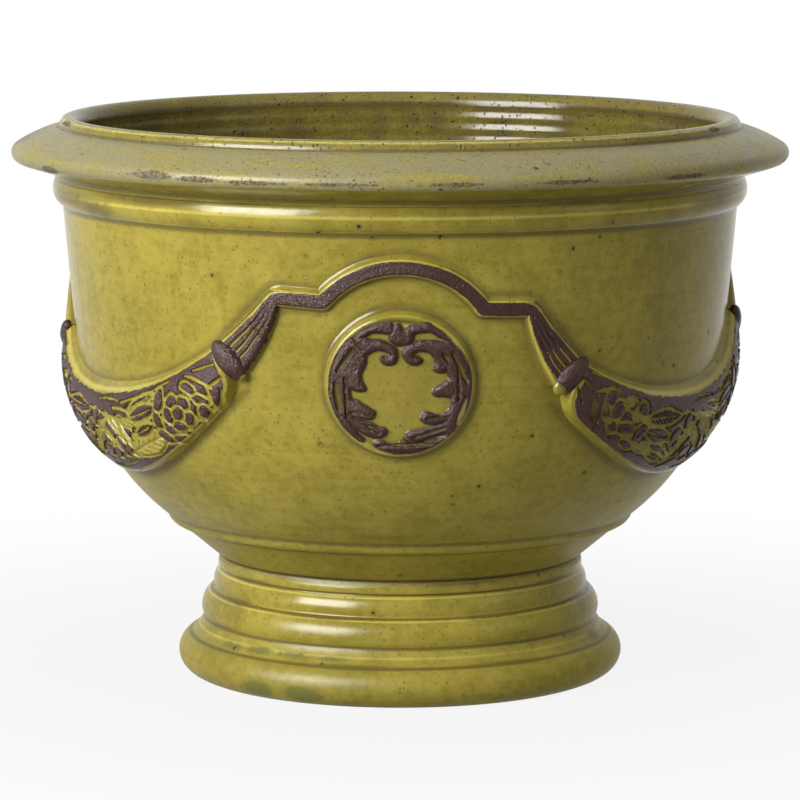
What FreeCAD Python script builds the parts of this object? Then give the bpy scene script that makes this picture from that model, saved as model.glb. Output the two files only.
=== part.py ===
import FreeCAD, Part
import math
import os

# Garland urn planter in glazed earthenware. Three thrown sections (foot, bowl,
# rim ring) are stacked on one axis, and pressed clay ornament is laid on the
# bowl in three like panels, with a garland hung between each two panels.
# Millimetres, +Z up, origin at the centre of the circle the foot stands on.
# The front panel faces -Y. Angles around the bowl run from -Y towards +X.

V = FreeCAD.Vector
AXIS = V(0, 0, 1)
FULL_TURN = 360.0
HALF_TURN = 180.0

# Pedestal foot, from the ground up
foot_contact_r = 167.6      # outer edge of the ring the foot stands on
foot_land_w = 24.0          # width of that ring
base_roll_h = 30.5
base_roll_bulge = 10.5      # how far the roll swells past its two edges
roll_groove_r = 169.5       # groove above the base roll
cavetto_h = 13.6
cavetto_hollow = 1.3
cavetto_groove_r = 158.6
lower_ring_h = 22.5
lower_ring_bulge = 4.4
ring_groove_r = 152.4       # groove between the two rings
upper_ring_h = 17.4
upper_ring_bulge = 2.6
neck_groove = 0.8           # depth of the groove under the neck
neck_groove_h = 1.2
neck_h = 11.0
neck_r = 146.0
neck_wall = 24.0

# Bowl, heights measured from the seat on the foot
bowl_h = 308.0              # seat to the joint under the rim ring
wall_t = 18.0
floor_t = 22.0
inner_round = 165.0         # inside round between wall and floor
drain_r = 17.5
belly_bead_top_h = 35.0
belly_bead_top_r = 187.6
belly_bead_w = 12.0         # slant width of the bead under the belly
belly_bead_bulge = 2.6
belly_h = 165.0             # where the round belly runs into the straight wall
wall_taper_deg = 5.07
collar_h = 283.0            # lower edge of the collar moulding
collar_r = 269.5
collar_bead_h = 20.6
collar_bead_w = 7.9
collar_bead_bulge = 3.4
cove_w = 5.4
cove_hollow = 1.0

# Rim ring, heights measured from its joint on the bowl
rim_r = 310.0
flange_under_rise = 10.7    # the flange's lower arris above the joint
flange_edge_t = 12.6
flange_edge_round = 3.7     # how far the edge stands past its two arrises
flange_rise = 37.2          # groove at the foot of the lip above the joint
flange_crown = 1.6
lip_r = 272.0
lip_w = 17.0
lip_h = 8.0

# Ornament panels
panel_count = 3
panel_lean_deg = 2.6        # laid on by hand, the right side hangs lower
medallion_h = 170.6         # medallion centre above the bowl's seat
seat_depth = 14.0           # how far ornament is carried inside before it is trimmed to the wall
edge_sink = 1.0             # feather edge carried just under the wall's face

medallion_r = 56.0
medallion_ground_t = 3.5
medallion_edge_t = 6.5
medallion_edge_w = 6.0
medallion_edge_chamfer = 1.6
wreath_t = 3.2              # relief of the wreath above the medallion's ground

# Ribbon and drapes: angle from the panel's middle, height above the medallion's centre
ribbon_arch_rise = 89.0
ribbon_foot_deg = 13.0
ribbon_foot_rise = 59.8
ribbon_w = 14.0
ribbon_t = 5.0
ribbon_flat_share = 0.64    # share of the width that is flat on top
ribbon_arch_steps = 16
drape_top_outer_deg = 22.1
drape_top_outer_rise = 65.4
drape_top_inner_deg = 20.3
drape_top_inner_rise = 55.7
drape_end_outer_deg = 30.6
drape_end_outer_rise = 23.4
drape_end_inner_deg = 26.2
drape_end_inner_rise = 7.6
drape_top_t = 5.0
drape_end_t = 8.5
drape_sweep_deg = 0.7       # the drape's edges bow towards the medallion
drape_flutes = 4
drape_steps = 4
drape_bevel_share = 0.13    # share of the width taken by each bevelled side
flute_round_share = 0.38    # swell of a flute as a share of its width
tie_outer_deg = 31.3
tie_outer_rise = 21.5
tie_inner_deg = 26.3
tie_inner_rise = -2.6
tie_r = 6.8
tie_swell = 0.8
tie_lift = 5.2              # tie axis above the wall's face

# Garlands
garland_top_sag = 37.0
garland_foot_sag = 75.0
garland_shoulder = 11.0     # the lower edge starts this far under the tie
garland_top_power = 2.3     # how sharply the upper edge rises to the ties
garland_foot_power = 1.9
garland_t = 10.0
garland_end_t = 8.0
garland_steps = 10
relief_t = 3.4              # flowers, leaves and bands above the garland's body
garland_shares = (0.0, 0.12, 0.30, 0.50, 0.70, 0.88, 1.0)
garland_height_shares = (0.0, 0.66, 0.93, 1.0, 0.93, 0.66, 0.0)
upper_band_shares = (0.09, 0.20)
lower_band_shares = (0.82, 0.93)
band_end_share = 0.90       # bands stop short of the ties
motif_gap = 1.6             # groove left between neighbouring motifs

least_piece_volume = 8.0    # smaller scraps between motifs are trimmed away

# Motifs on the garland: share of the way from its middle to a tie, below 0 towards the tie it
# starts from; share of the width from the upper edge; turn from its run as a share of a half
# turn; length and width as shares of the largest of their kind
petal_l = 20.0
petal_w = 11.0
petal_shares = (
    # rosette: the eye, five petals, and the lobes that ring them
    (0.682, 0.556, 0.0, 0.50, 0.86),
    (0.655, 0.37, 0.53, 0.56, 0.96),
    (0.752, 0.58, -0.40, 0.75, 0.77),
    (0.714, 0.765, 0.06, 0.53, 0.70),
    (0.600, 0.535, 0.47, 0.63, 0.95),
    (0.640, 0.715, 0.22, 0.50, 0.73),
    (0.817, 0.60, -0.33, 0.70, 0.59),
    (0.812, 0.76, 0.34, 0.50, 0.62),
    (0.762, 0.385, -0.27, 0.55, 0.50),
    (0.565, 0.31, 0.31, 0.70, 0.82),
    (0.529, 0.486, 0.46, 0.70, 0.55),
    (0.540, 0.68, -0.39, 0.65, 0.55),
    # rose with overlapping petals
    (-0.650, 0.455, 0.06, 0.75, 0.82),
    (-0.718, 0.416, 0.44, 0.80, 0.91),
    (-0.772, 0.334, 0.56, 0.75, 0.95),
    (-0.635, 0.614, 0.08, 1.00, 0.77),
    (-0.712, 0.655, -0.11, 0.50, 0.70),
    (-0.522, 0.556, 0.36, 0.90, 0.91),
    (-0.622, 0.30, 0.47, 0.50, 0.59),
    (-0.542, 0.31, 0.39, 0.60, 0.86),
    (-0.780, 0.55, -0.28, 0.50, 0.55),
    # berries about the middle
    (0.091, 0.45, 0.22, 0.50, 0.77),
    (0.155, 0.585, 0.57, 0.85, 0.86),
    (0.200, 0.40, -0.25, 0.45, 0.55),
    (0.042, 0.638, 0.06, 0.70, 0.77),
    (-0.100, 0.345, 0.33, 0.65, 0.82),
    (-0.030, 0.34, 0.06, 0.45, 0.64),
    (-0.205, 0.43, 0.33, 0.45, 0.55),
)
leaf_l = 36.0
leaf_w = 12.0
leaf_rib_w = 1.5
leaf_shares = (
    # long leaves between the flowers and the middle
    (0.405, 0.33, 0.02, 1.00, 0.92),
    (0.395, 0.51, 0.02, 0.78, 0.72),
    (0.400, 0.68, 0.0, 1.00, 0.92),
    (-0.345, 0.315, 0.04, 1.00, 0.88),
    (-0.365, 0.50, 0.0, 0.89, 0.92),
    (-0.350, 0.68, 0.0, 0.86, 0.72),
    # small leaves between the berries
    (-0.035, 0.50, 0.04, 0.61, 0.75),
    (-0.125, 0.60, 0.23, 0.72, 0.75),
    (0.262, 0.44, 0.43, 0.47, 0.50),
    (0.245, 0.68, 0.17, 0.50, 0.50),
    (-0.230, 0.635, -0.18, 0.50, 0.50),
    (0.105, 0.29, -0.17, 0.47, 0.50),
    (-0.020, 0.73, 0.03, 0.50, 0.46),
    # calyx leaves that spring from the two ties
    (0.885, 0.30, -0.05, 0.64, 0.70),
    (0.890, 0.50, 0.0, 0.58, 0.62),
    (0.885, 0.70, 0.05, 0.64, 0.66),
    (-0.875, 0.30, 0.05, 0.67, 0.70),
    (-0.880, 0.50, 0.0, 0.61, 0.62),
    (-0.875, 0.70, -0.05, 0.67, 0.66),
)

# Wreath outlines on the left half, shares of the medallion's radius
scroll_shares = (
    (-0.66, 0.60), (-0.52, 0.645), (-0.28, 0.60), (-0.12, 0.54), (-0.045, 0.40), (-0.09, 0.30),
    (-0.175, 0.29), (-0.235, 0.365), (-0.175, 0.385), (-0.14, 0.425), (-0.20, 0.475), (-0.28, 0.49),
    (-0.42, 0.43), (-0.56, 0.30), (-0.66, 0.44),
)
stem_shares = (
    (-0.66, 0.58), (-0.79, 0.39), (-0.87, 0.15), (-0.875, -0.10), (-0.83, -0.36), (-0.71, -0.57),
    (-0.545, -0.72), (-0.49, -0.73), (-0.62, -0.56), (-0.66, -0.40), (-0.64, -0.22), (-0.66, 0.0),
    (-0.62, 0.24), (-0.54, 0.44), (-0.56, 0.55),
)
slit_shares = ((-0.825, 0.04), (-0.795, -0.02), (-0.755, -0.34), (-0.80, -0.24))
lobe_shares = (
    ((-0.68, 0.33), (-0.57, 0.37), (-0.555, 0.20), (-0.52, 0.09), (-0.42, -0.035),
     (-0.50, -0.055), (-0.61, 0.0), (-0.71, 0.12)),
    ((-0.71, -0.22), (-0.56, -0.24), (-0.40, -0.325), (-0.34, -0.37), (-0.39, -0.428),
     (-0.54, -0.405), (-0.70, -0.36)),
    ((-0.70, -0.40), (-0.54, -0.455), (-0.36, -0.535), (-0.21, -0.59), (-0.20, -0.66),
     (-0.30, -0.70), (-0.46, -0.665), (-0.63, -0.56)),
)
palmette_shares = (
    (0.0, 0.58), (-0.11, 0.61), (-0.15, 0.69), (-0.13, 0.78), (-0.065, 0.75), (0.0, 0.82),
    (0.065, 0.75), (0.13, 0.78), (0.15, 0.69), (0.11, 0.61),
)
wing_shares = (
    (-0.10, 0.70), (-0.26, 0.705), (-0.40, 0.695), (-0.52, 0.685), (-0.40, 0.755), (-0.26, 0.80),
    (-0.14, 0.815), (-0.09, 0.77),
)
base_leaf_shares = (
    (-0.345, -0.785), (-0.24, -0.765), (-0.08, -0.80), (0.03, -0.75), (0.16, -0.785), (0.36, -0.765),
    (0.46, -0.735), (0.40, -0.78), (0.22, -0.845), (-0.05, -0.87), (-0.25, -0.835),
)

# Levels and angles that follow from the sizes above
foot_h = base_roll_h + cavetto_h + lower_ring_h + upper_ring_h + neck_h
rim_z = foot_h + bowl_h
medallion_z = foot_h + medallion_h
taper = math.radians(wall_taper_deg)
panel_pitch_deg = FULL_TURN / panel_count
overrun = rim_r             # carries cutting prisms clear of the bowl


def rz(r, z):
    return V(r, 0, z)


def bulged(start, end, bulge):
    """Arc from start to end in the profile plane, swelling to the right of its run."""
    run = end - start
    side = V(run.z, 0, -run.x).normalize()
    return (start + end) * 0.5 + side * bulge, end


def profile(start, moves):
    """Closed face: a move is an end point, or a pair of through point and end point."""
    edges = []
    here = start
    for move in moves:
        if isinstance(move, tuple):
            through, there = move
            edges.append(Part.Arc(here, through, there).toShape())
        else:
            there = move
            edges.append(Part.LineSegment(here, there).toShape())
        here = there
    edges.append(Part.LineSegment(here, start).toShape())
    return Part.Face(Part.Wire(edges))


def turned(face):
    return face.revolve(V(0, 0, 0), AXIS, FULL_TURN)


# The bowl's outer line: straight taper above, one round below, tangent at the belly
belly_z = foot_h + belly_h
collar_z = foot_h + collar_h
belly_r = collar_r - (collar_z - belly_z) * math.tan(taper)
bead_top = rz(belly_bead_top_r, foot_h + belly_bead_top_h)
wall_out = rz(math.cos(taper), -math.sin(taper))
to_bead = bead_top - rz(belly_r, belly_z)
belly_round = to_bead.Length ** 2 / (-2 * to_bead.dot(wall_out))
belly_centre = rz(belly_r, belly_z) - wall_out * belly_round


def wall_at(z):
    """Radius of the bowl's outer face at a height, and the outward direction there."""
    if z >= belly_z:
        return collar_r - (collar_z - z) * math.tan(taper), wall_out
    drop = z - belly_centre.z
    reach = math.sqrt(belly_round ** 2 - drop ** 2)
    return belly_centre.x + reach, rz(reach, drop) / belly_round


def swung(vector, deg):
    """Carries a vector of the profile plane round to an angle on the bowl."""
    a = math.radians(deg)
    return V(vector.x * math.sin(a), -vector.x * math.cos(a), vector.z)


def on_bowl(deg, rise, lift=0):
    """Point over the bowl's face: angle, height above the medallion's centre, height off the face."""
    z = medallion_z + rise
    r, out = wall_at(z)
    return swung(rz(r, z) + out * lift, deg)


def out_at(point):
    """Outward direction of the bowl's face under a point."""
    out = wall_at(point.z)[1]
    return swung(out, math.degrees(math.atan2(point.x, -point.y)))


def lift_of(point):
    """Height of a point off the bowl's face."""
    r, out = wall_at(point.z)
    return (math.hypot(point.x, point.y) - r) * out.x


def middle_of(edge):
    return edge.valueAt((edge.FirstParameter + edge.LastParameter) / 2)


def envelope(lift):
    """Solid body bounded by the bowl's outer face, grown by a lift."""
    r = belly_round + lift
    low_z = bead_top.z
    low = rz(belly_centre.x + math.sqrt(r ** 2 - (low_z - belly_centre.z) ** 2), low_z)
    tangent = belly_centre + wall_out * r
    top = rz(tangent.x + (collar_z - tangent.z) * math.tan(taper), collar_z)
    half = (wall_out + (low - belly_centre) / r).normalize()
    through = belly_centre + half * r
    return turned(profile(rz(0, low_z), [low, (through, tangent), top, rz(0, collar_z)]))


wall_body = envelope(0)


def thrown_foot():
    z_roll = base_roll_h
    z_cavetto = z_roll + cavetto_h
    z_lower = z_cavetto + lower_ring_h
    z_upper = z_lower + upper_ring_h
    contact = rz(foot_contact_r, 0)
    roll_groove = rz(roll_groove_r, z_roll)
    cavetto_groove = rz(cavetto_groove_r, z_cavetto)
    ring_groove = rz(ring_groove_r, z_lower)
    under_neck = rz(neck_r - neck_groove, z_upper)
    return turned(profile(rz(foot_contact_r - foot_land_w, 0), [
        contact,
        bulged(contact, roll_groove, base_roll_bulge),
        bulged(roll_groove, cavetto_groove, -cavetto_hollow),
        bulged(cavetto_groove, ring_groove, lower_ring_bulge),
        bulged(ring_groove, under_neck, upper_ring_bulge),
        rz(neck_r, z_upper + neck_groove_h),
        rz(neck_r, foot_h),
        rz(neck_r - neck_wall, foot_h),
    ]))


def inner_wall_r(z):
    return collar_r - (collar_z - z) * math.tan(taper) - wall_t / math.cos(taper)


def thrown_bowl():
    seat_edge = rz(neck_r, foot_h)
    bead_run = (bead_top - seat_edge).normalize()
    bead_low = bead_top - bead_run * belly_bead_w
    tangent = rz(belly_r, belly_z)
    half = (wall_out + (bead_top - belly_centre) / belly_round).normalize()
    collar_low = rz(collar_r, collar_z)
    collar_high = rz(collar_r + collar_bead_w, collar_z + collar_bead_h)
    joint = rz(collar_high.x - cove_w, rim_z)
    floor_z = foot_h + floor_t
    round_z = floor_z + inner_round
    round_r = inner_wall_r(round_z) - inner_round / math.cos(taper)
    round_centre = rz(round_r, round_z)
    round_high = round_centre + wall_out * inner_round
    round_half = (wall_out - AXIS).normalize()
    return turned(profile(rz(drain_r, foot_h), [
        seat_edge,
        bead_low,
        bulged(bead_low, bead_top, belly_bead_bulge),
        (belly_centre + half * belly_round, tangent),
        collar_low,
        bulged(collar_low, collar_high, collar_bead_bulge),
        bulged(collar_high, joint, -cove_hollow),
        rz(inner_wall_r(rim_z), rim_z),
        round_high,
        (round_centre + round_half * inner_round, rz(round_r, floor_z)),
        rz(drain_r, floor_z),
    ]))


def thrown_rim():
    joint = rz(collar_r + collar_bead_w - cove_w, rim_z)
    low_arris = rz(rim_r - flange_edge_round, rim_z + flange_under_rise)
    high_arris = low_arris + AXIS * flange_edge_t
    lip_foot = rz(lip_r, rim_z + flange_rise)
    lip_inner = rz(lip_r - lip_w, rim_z + flange_rise)
    crest = rz(lip_r - lip_w / 2, rim_z + flange_rise + lip_h)
    return turned(profile(rz(inner_wall_r(rim_z), rim_z), [
        joint,
        low_arris,
        bulged(low_arris, high_arris, flange_edge_round),
        bulged(high_arris, lip_foot, flange_crown),
        (crest, lip_inner),
    ]))


def leaned(deg, rise):
    """Turns a place of the panel about the medallion by the panel's lean."""
    ref_r = wall_at(medallion_z)[0]
    a = math.radians(panel_lean_deg)
    x = math.radians(deg) * ref_r
    return math.degrees((x * math.cos(a) + rise * math.sin(a)) / ref_r), rise * math.cos(a) - x * math.sin(a)


def across(edge_a, edge_b):
    """Frame of a section between two points of the bowl's face: chord, outward, crown of the face."""
    chord = edge_b - edge_a
    middle = (edge_a + edge_b) * 0.5
    out = out_at(middle)
    out = (out - chord * (out.dot(chord) / chord.dot(chord))).normalize()
    bulge = wall_at(middle.z)[0] - math.hypot(middle.x, middle.y)
    return chord, out, bulge * out.dot(out_at(middle))


def over_chord(edge_a, edge_b, share, height):
    """Point of a section: share of the chord, height above the bowl's face there."""
    chord, out, crown = across(edge_a, edge_b)
    return edge_a + chord * share + out * (height + 4 * crown * share * (1 - share))


def section(edge_a, edge_b, face_edges):
    """Closes the outer edges of a section behind the bowl's face."""
    out = across(edge_a, edge_b)[1]
    first = face_edges[0].Vertexes[0].Point
    last = face_edges[-1].Vertexes[-1].Point
    back_b = edge_b - out * seat_depth
    back_a = edge_a - out * seat_depth
    back = [(last, back_b), (back_b, back_a), (back_a, first)]
    return Part.Wire(face_edges + [Part.LineSegment(p, q).toShape() for p, q in back])


def bevelled_section(edge_a, edge_b, height):
    flat = (1 - ribbon_flat_share) / 2
    places = ((0, -edge_sink), (flat, height), (1 - flat, height), (1, -edge_sink))
    points = [over_chord(edge_a, edge_b, share, h) for share, h in places]
    return section(edge_a, edge_b, [Part.LineSegment(p, q).toShape() for p, q in zip(points, points[1:])])


def fluted_section(edge_a, edge_b, height):
    """Bevelled sides, and round flutes side by side between them."""
    flute_share = (1 - 2 * drape_bevel_share) / drape_flutes
    flute_swell = (edge_b - edge_a).Length * flute_share * flute_round_share
    valleys = [drape_bevel_share + i * flute_share for i in range(drape_flutes + 1)]
    valley_points = [over_chord(edge_a, edge_b, share, height - flute_swell) for share in valleys]
    edges = [Part.LineSegment(over_chord(edge_a, edge_b, 0, -edge_sink), valley_points[0]).toShape()]
    for share, low, high in zip(valleys, valley_points, valley_points[1:]):
        crest = over_chord(edge_a, edge_b, share + flute_share / 2, height)
        edges.append(Part.Arc(low, crest, high).toShape())
    edges.append(Part.LineSegment(valley_points[-1], over_chord(edge_a, edge_b, 1, -edge_sink)).toShape())
    return section(edge_a, edge_b, edges)


def domed_section(edge_a, edge_b, height):
    points = []
    for share, height_share in zip(garland_shares, garland_height_shares):
        points.append(over_chord(edge_a, edge_b, share, height * height_share - edge_sink))
    curve = Part.BSplineCurve()
    curve.interpolate(points)
    return section(edge_a, edge_b, [curve.toShape()])


def laid_ribbon():
    """Bevelled strip: level ends, mitred at the feet of an arch over the medallion."""
    ref_r = wall_at(medallion_z)[0]
    foot_x = math.radians(ribbon_foot_deg) * ref_r
    arch_sag = ribbon_arch_rise - ribbon_foot_rise
    arch_r = (foot_x ** 2 + arch_sag ** 2) / (2 * arch_sag)
    arch_rise = ribbon_arch_rise - arch_r
    half_deg = math.degrees(math.asin(foot_x / arch_r))
    path = []
    for i in range(ribbon_arch_steps + 1):
        a = math.radians(half_deg * (2 * i / ribbon_arch_steps - 1))
        path.append((arch_r * math.sin(a), arch_rise + arch_r * math.cos(a)))
    end_x = math.radians(drape_top_outer_deg + drape_top_inner_deg) / 2 * ref_r
    end_rise = (drape_top_outer_rise + drape_top_inner_rise) / 2
    path = [(-end_x, end_rise)] + path + [(end_x, end_rise)]
    wires = []
    for before, here, after in zip(path, path[1:], path[2:]):
        in_run = V(here[0] - before[0], here[1] - before[1], 0).normalize()
        out_run = V(after[0] - here[0], after[1] - here[1], 0).normalize()
        run = (in_run + out_run).normalize()
        half_w = ribbon_w / 2 / run.dot(in_run)
        edges = []
        for side in (1, -1):
            x = here[0] - run.y * half_w * side
            rise = here[1] + run.x * half_w * side
            edges.append(on_bowl(*leaned(math.degrees(x / ref_r), rise)))
        wires.append(bevelled_section(*edges, ribbon_t))
    for side, place in ((-1, 0), (1, len(wires) + 1)):
        outer = on_bowl(*leaned(side * drape_top_outer_deg, drape_top_outer_rise))
        inner = on_bowl(*leaned(side * drape_top_inner_deg, drape_top_inner_rise))
        wires.insert(place, bevelled_section(outer, inner, ribbon_t))
    return Part.makeLoft(wires, True, True).cut(wall_body)


def laid_tie(side):
    """Rolled band across the foot of a drape, a swelling rod with round ends."""
    inner = on_bowl(*leaned(side * tie_inner_deg, tie_inner_rise), tie_lift)
    outer = on_bowl(*leaned(side * tie_outer_deg, tie_outer_rise), tie_lift)
    half_l = (outer - inner).Length / 2
    round_off = tie_r * math.sqrt(0.5)
    low_shoulder = rz(tie_r, tie_r - half_l)
    high_shoulder = rz(tie_r, half_l - tie_r)
    rod = turned(profile(rz(0, -half_l), [
        (rz(round_off, tie_r - half_l - round_off), low_shoulder),
        bulged(low_shoulder, high_shoulder, tie_swell),
        (rz(round_off, half_l - tie_r + round_off), rz(0, half_l)),
    ]))
    rod.Placement = FreeCAD.Placement((inner + outer) * 0.5, FreeCAD.Rotation(AXIS, outer - inner))
    return rod.cut(wall_body)


def laid_drape(side):
    """Gathered cloth, fluted lengthways and widening down to its tie."""
    wires = []
    for i in range(drape_steps + 1):
        share = i / drape_steps
        bow = drape_sweep_deg * 4 * share * (1 - share)
        edges = []
        for top_deg, top_rise, end_deg, end_rise in (
            (drape_top_outer_deg, drape_top_outer_rise, drape_end_outer_deg, drape_end_outer_rise),
            (drape_top_inner_deg, drape_top_inner_rise, drape_end_inner_deg, drape_end_inner_rise),
        ):
            deg = top_deg + (end_deg - top_deg) * share - bow
            edges.append(on_bowl(*leaned(side * deg, top_rise + (end_rise - top_rise) * share)))
        height = drape_top_t + (drape_end_t - drape_top_t) * share
        wires.append(fluted_section(*edges, height))
    return Part.makeLoft(wires, True, True).cut(wall_body)


def garland_edges(along):
    """Upper and lower edge of the garland; along runs from -1 at one tie to 1 at the next."""
    edges = []
    for tie_deg, tie_rise, sag, power in (
        (tie_outer_deg, tie_outer_rise, garland_top_sag, garland_top_power),
        (tie_inner_deg, tie_inner_rise - garland_shoulder, garland_foot_sag, garland_foot_power),
    ):
        start_deg, start_rise = leaned(tie_deg, tie_rise)
        end_deg, end_rise = leaned(-tie_deg, tie_rise)
        share = (along + 1) / 2
        deg = start_deg + (end_deg + panel_pitch_deg - start_deg) * share
        rise = start_rise + (end_rise - start_rise) * share - sag * (1 - abs(along) ** power)
        edges.append(on_bowl(deg, rise))
    return edges


def garland_height(along):
    return garland_t + (garland_end_t - garland_t) * along ** 2


def garland_loft(extra):
    wires = []
    for i in range(garland_steps + 1):
        along = 2 * i / garland_steps - 1
        wires.append(domed_section(*garland_edges(along), garland_height(along) + extra))
    return Part.makeLoft(wires, True)


def band_loft(shares, border):
    """Curved slab over the garland, between two shares of its width and a border on each side."""
    wires = []
    reach = 2 * (garland_t + relief_t)
    for i in range(garland_steps + 1):
        along = band_end_share * (2 * i / garland_steps - 1)
        edge_a, edge_b = garland_edges(along)
        margin = border / (edge_b - edge_a).Length
        low, high = shares[0] - margin, shares[1] + margin
        corners = [over_chord(edge_a, edge_b, share, h) for share, h in (
            (low, 0), (low, reach), (high, reach), (high, 0))]
        wires.append(Part.makePolygon(corners + corners[:1]))
    return Part.makeLoft(wires, True)


def motif_placement(along, share, turn_deg):
    """Frame on the garland: X along its run, Z outward."""
    edge_a, edge_b = garland_edges(along)
    chord, out, _ = across(edge_a, edge_b)
    up = chord.normalize() * -1
    run = up.cross(out)
    height = garland_height(along)
    spot = over_chord(edge_a, edge_b, share, height)
    turn = FreeCAD.Rotation(run, up, out, "ZXY").multiply(FreeCAD.Rotation(AXIS, turn_deg))
    return FreeCAD.Placement(spot, turn)


def flat_face(points, through=()):
    """Face in the XY plane: straight edges, or arcs where a through point is given."""
    edges = []
    through = dict(through)
    for i, start in enumerate(points):
        end = points[(i + 1) % len(points)]
        if i in through:
            edges.append(Part.Arc(start, through[i], end).toShape())
        else:
            edges.append(Part.LineSegment(start, end).toShape())
    return Part.Face(Part.Wire(edges))


def oval_face(length, width):
    return Part.Face(Part.Wire(Part.Ellipse(V(0, 0, 0), length / 2, width / 2).toShape()))


def oval_faces(length, width):
    """Round petal, lobe or berry."""
    return [oval_face(length, width)], oval_face(length + 2 * motif_gap, width + 2 * motif_gap)


def leaf_half(length, width, rib, side):
    base = V(-length / 2, side * rib / 2, 0)
    tip = V(length / 2, side * rib / 2, 0)
    belly = V(0, side * width / 2, 0)
    return flat_face([base, tip], {1: belly})


def leaf_faces(length, width):
    """Pointed leaf, in two halves with the rib between them."""
    halves = [leaf_half(length, width, leaf_rib_w, side) for side in (1, -1)]
    wide = width + 2 * motif_gap
    border = leaf_half(length, wide, 0, 1).fuse(leaf_half(length, wide, 0, -1))
    return halves, border


def standing(face, placement):
    """Prism over a flat outline, through the relief layer at a place on the garland."""
    prism = face.extrude(AXIS * (4 * relief_t))
    prism.translate(AXIS * (-2 * relief_t))
    prism.Placement = placement.multiply(prism.Placement)
    return prism


def pressed(motif, placement, layer, taken):
    """Cuts a motif out of the relief layer, clear of the room that others have taken."""
    faces, border = motif
    room = standing(border, placement)
    near = [other for other in taken if other.BoundBox.intersect(room.BoundBox)]
    taken.append(room)
    solids = []
    for face in faces:
        prism = standing(face, placement)
        solids += layer.common(prism.cut(near) if near else prism).Solids
    return [solid for solid in solids if solid.Volume > least_piece_volume]


def garland_motifs(layer):
    """Edge bands, flowers and leaves, each laid clear of the ones before."""
    both_bands = (upper_band_shares, lower_band_shares)
    bands = [solid for shares in both_bands for solid in layer.common(band_loft(shares, 0)).Solids]
    between = layer.cut([band_loft(shares, motif_gap) for shares in both_bands])
    flowers = []
    leaves = []
    taken = []
    for group, outline, motif_shares, full_l, full_w in (
        (flowers, oval_faces, petal_shares, petal_l, petal_w),
        (leaves, leaf_faces, leaf_shares, leaf_l, leaf_w),
    ):
        for along, share, turn_share, l_share, w_share in motif_shares:
            placement = motif_placement(along, share, turn_share * HALF_TURN)
            group += pressed(outline(l_share * full_l, w_share * full_w), placement, between, taken)
    return flowers, leaves, bands


def wreath_prism(shares):
    """Prism towards the viewer over a closed smooth outline on the front medallion."""
    curve = Part.BSplineCurve()
    points = [V(x * medallion_r, 0, medallion_z + z * medallion_r) for x, z in shares]
    curve.interpolate(Points=points, PeriodicFlag=True)
    return Part.Face(Part.Wire(curve.toShape())).extrude(V(0, -overrun - rim_r, 0))


def flipped(shares):
    return tuple((-x, z) for x, z in shares)


def medallion_pieces():
    spot = V(0, 0, medallion_z)
    facing = V(0, -1, 0)
    inner_r = medallion_r - medallion_edge_w
    ground = Part.makeCylinder(medallion_r, overrun + rim_r, spot, facing)
    core = Part.makeCylinder(inner_r, overrun + rim_r, spot, facing)
    edge = ground.cut(core).common(envelope(medallion_edge_t))
    disc = ground.common(envelope(medallion_ground_t)).fuse(edge).cut(wall_body).removeSplitter()
    arris = [e for e in disc.Edges if abs(lift_of(middle_of(e)) - medallion_edge_t) < medallion_edge_chamfer]
    disc = disc.makeChamfer(medallion_edge_chamfer, arris)
    layer = core.common(envelope(medallion_ground_t + wreath_t)).cut(envelope(medallion_ground_t))
    pieces = {"medallion": disc}
    for side, turn_over in (("left", tuple), ("right", flipped)):
        outlines = [scroll_shares, stem_shares] + list(lobe_shares)
        prisms = [wreath_prism(turn_over(shares)) for shares in outlines]
        limb = prisms[0].fuse(prisms[1:]).cut(wreath_prism(turn_over(slit_shares)))
        pieces["medallion_scroll_" + side] = layer.common(limb).removeSplitter()
    crown = wreath_prism(palmette_shares).fuse([wreath_prism(wing_shares), wreath_prism(flipped(wing_shares))])
    pieces["medallion_palmette"] = layer.common(crown).removeSplitter()
    pieces["medallion_base_leaf"] = layer.common(wreath_prism(base_leaf_shares))
    return pieces


def panel_pieces():
    """All ornament of the front panel and of the garland to the right of it."""
    pieces = medallion_pieces()
    ribbon = laid_ribbon()
    ties = {side: laid_tie(sign) for side, sign in (("left", -1), ("right", 1))}
    next_tie = ties["left"].copy()
    next_tie.rotate(V(0, 0, 0), AXIS, panel_pitch_deg)
    body = garland_loft(0)
    garland = body.cut([wall_body, ties["right"], next_tie])
    layer = garland_loft(relief_t).cut([body, wall_body, ties["right"], next_tie])
    pieces["ribbon"] = ribbon
    for side, sign in (("left", -1), ("right", 1)):
        pieces["tie_" + side] = ties[side]
        pieces["drape_" + side] = laid_drape(sign).cut(ties[side])
    pieces["garland"] = garland
    flowers, leaves, bands = garland_motifs(layer)
    pieces["garland_flowers"] = Part.makeCompound(flowers)
    pieces["garland_leaves"] = Part.makeCompound(leaves)
    pieces["garland_bands"] = Part.makeCompound(bands)
    return pieces


os.makedirs("parts", exist_ok=True)
thrown_foot().exportStep("parts/pedestal_foot.step")
thrown_bowl().exportStep("parts/bowl.step")
thrown_rim().exportStep("parts/rim_ring.step")
for name, piece in panel_pieces().items():
    for panel in range(panel_count):
        turned_piece = piece.copy()
        turned_piece.rotate(V(0, 0, 0), AXIS, panel * panel_pitch_deg)
        turned_piece.exportStep("parts/%s_%d.step" % (name, panel + 1))
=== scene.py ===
"""Garland urn planter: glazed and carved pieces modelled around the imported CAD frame."""
import math

import bmesh
import bpy
import numpy as np
from mathutils import Matrix, Vector, kdtree, noise


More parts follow.
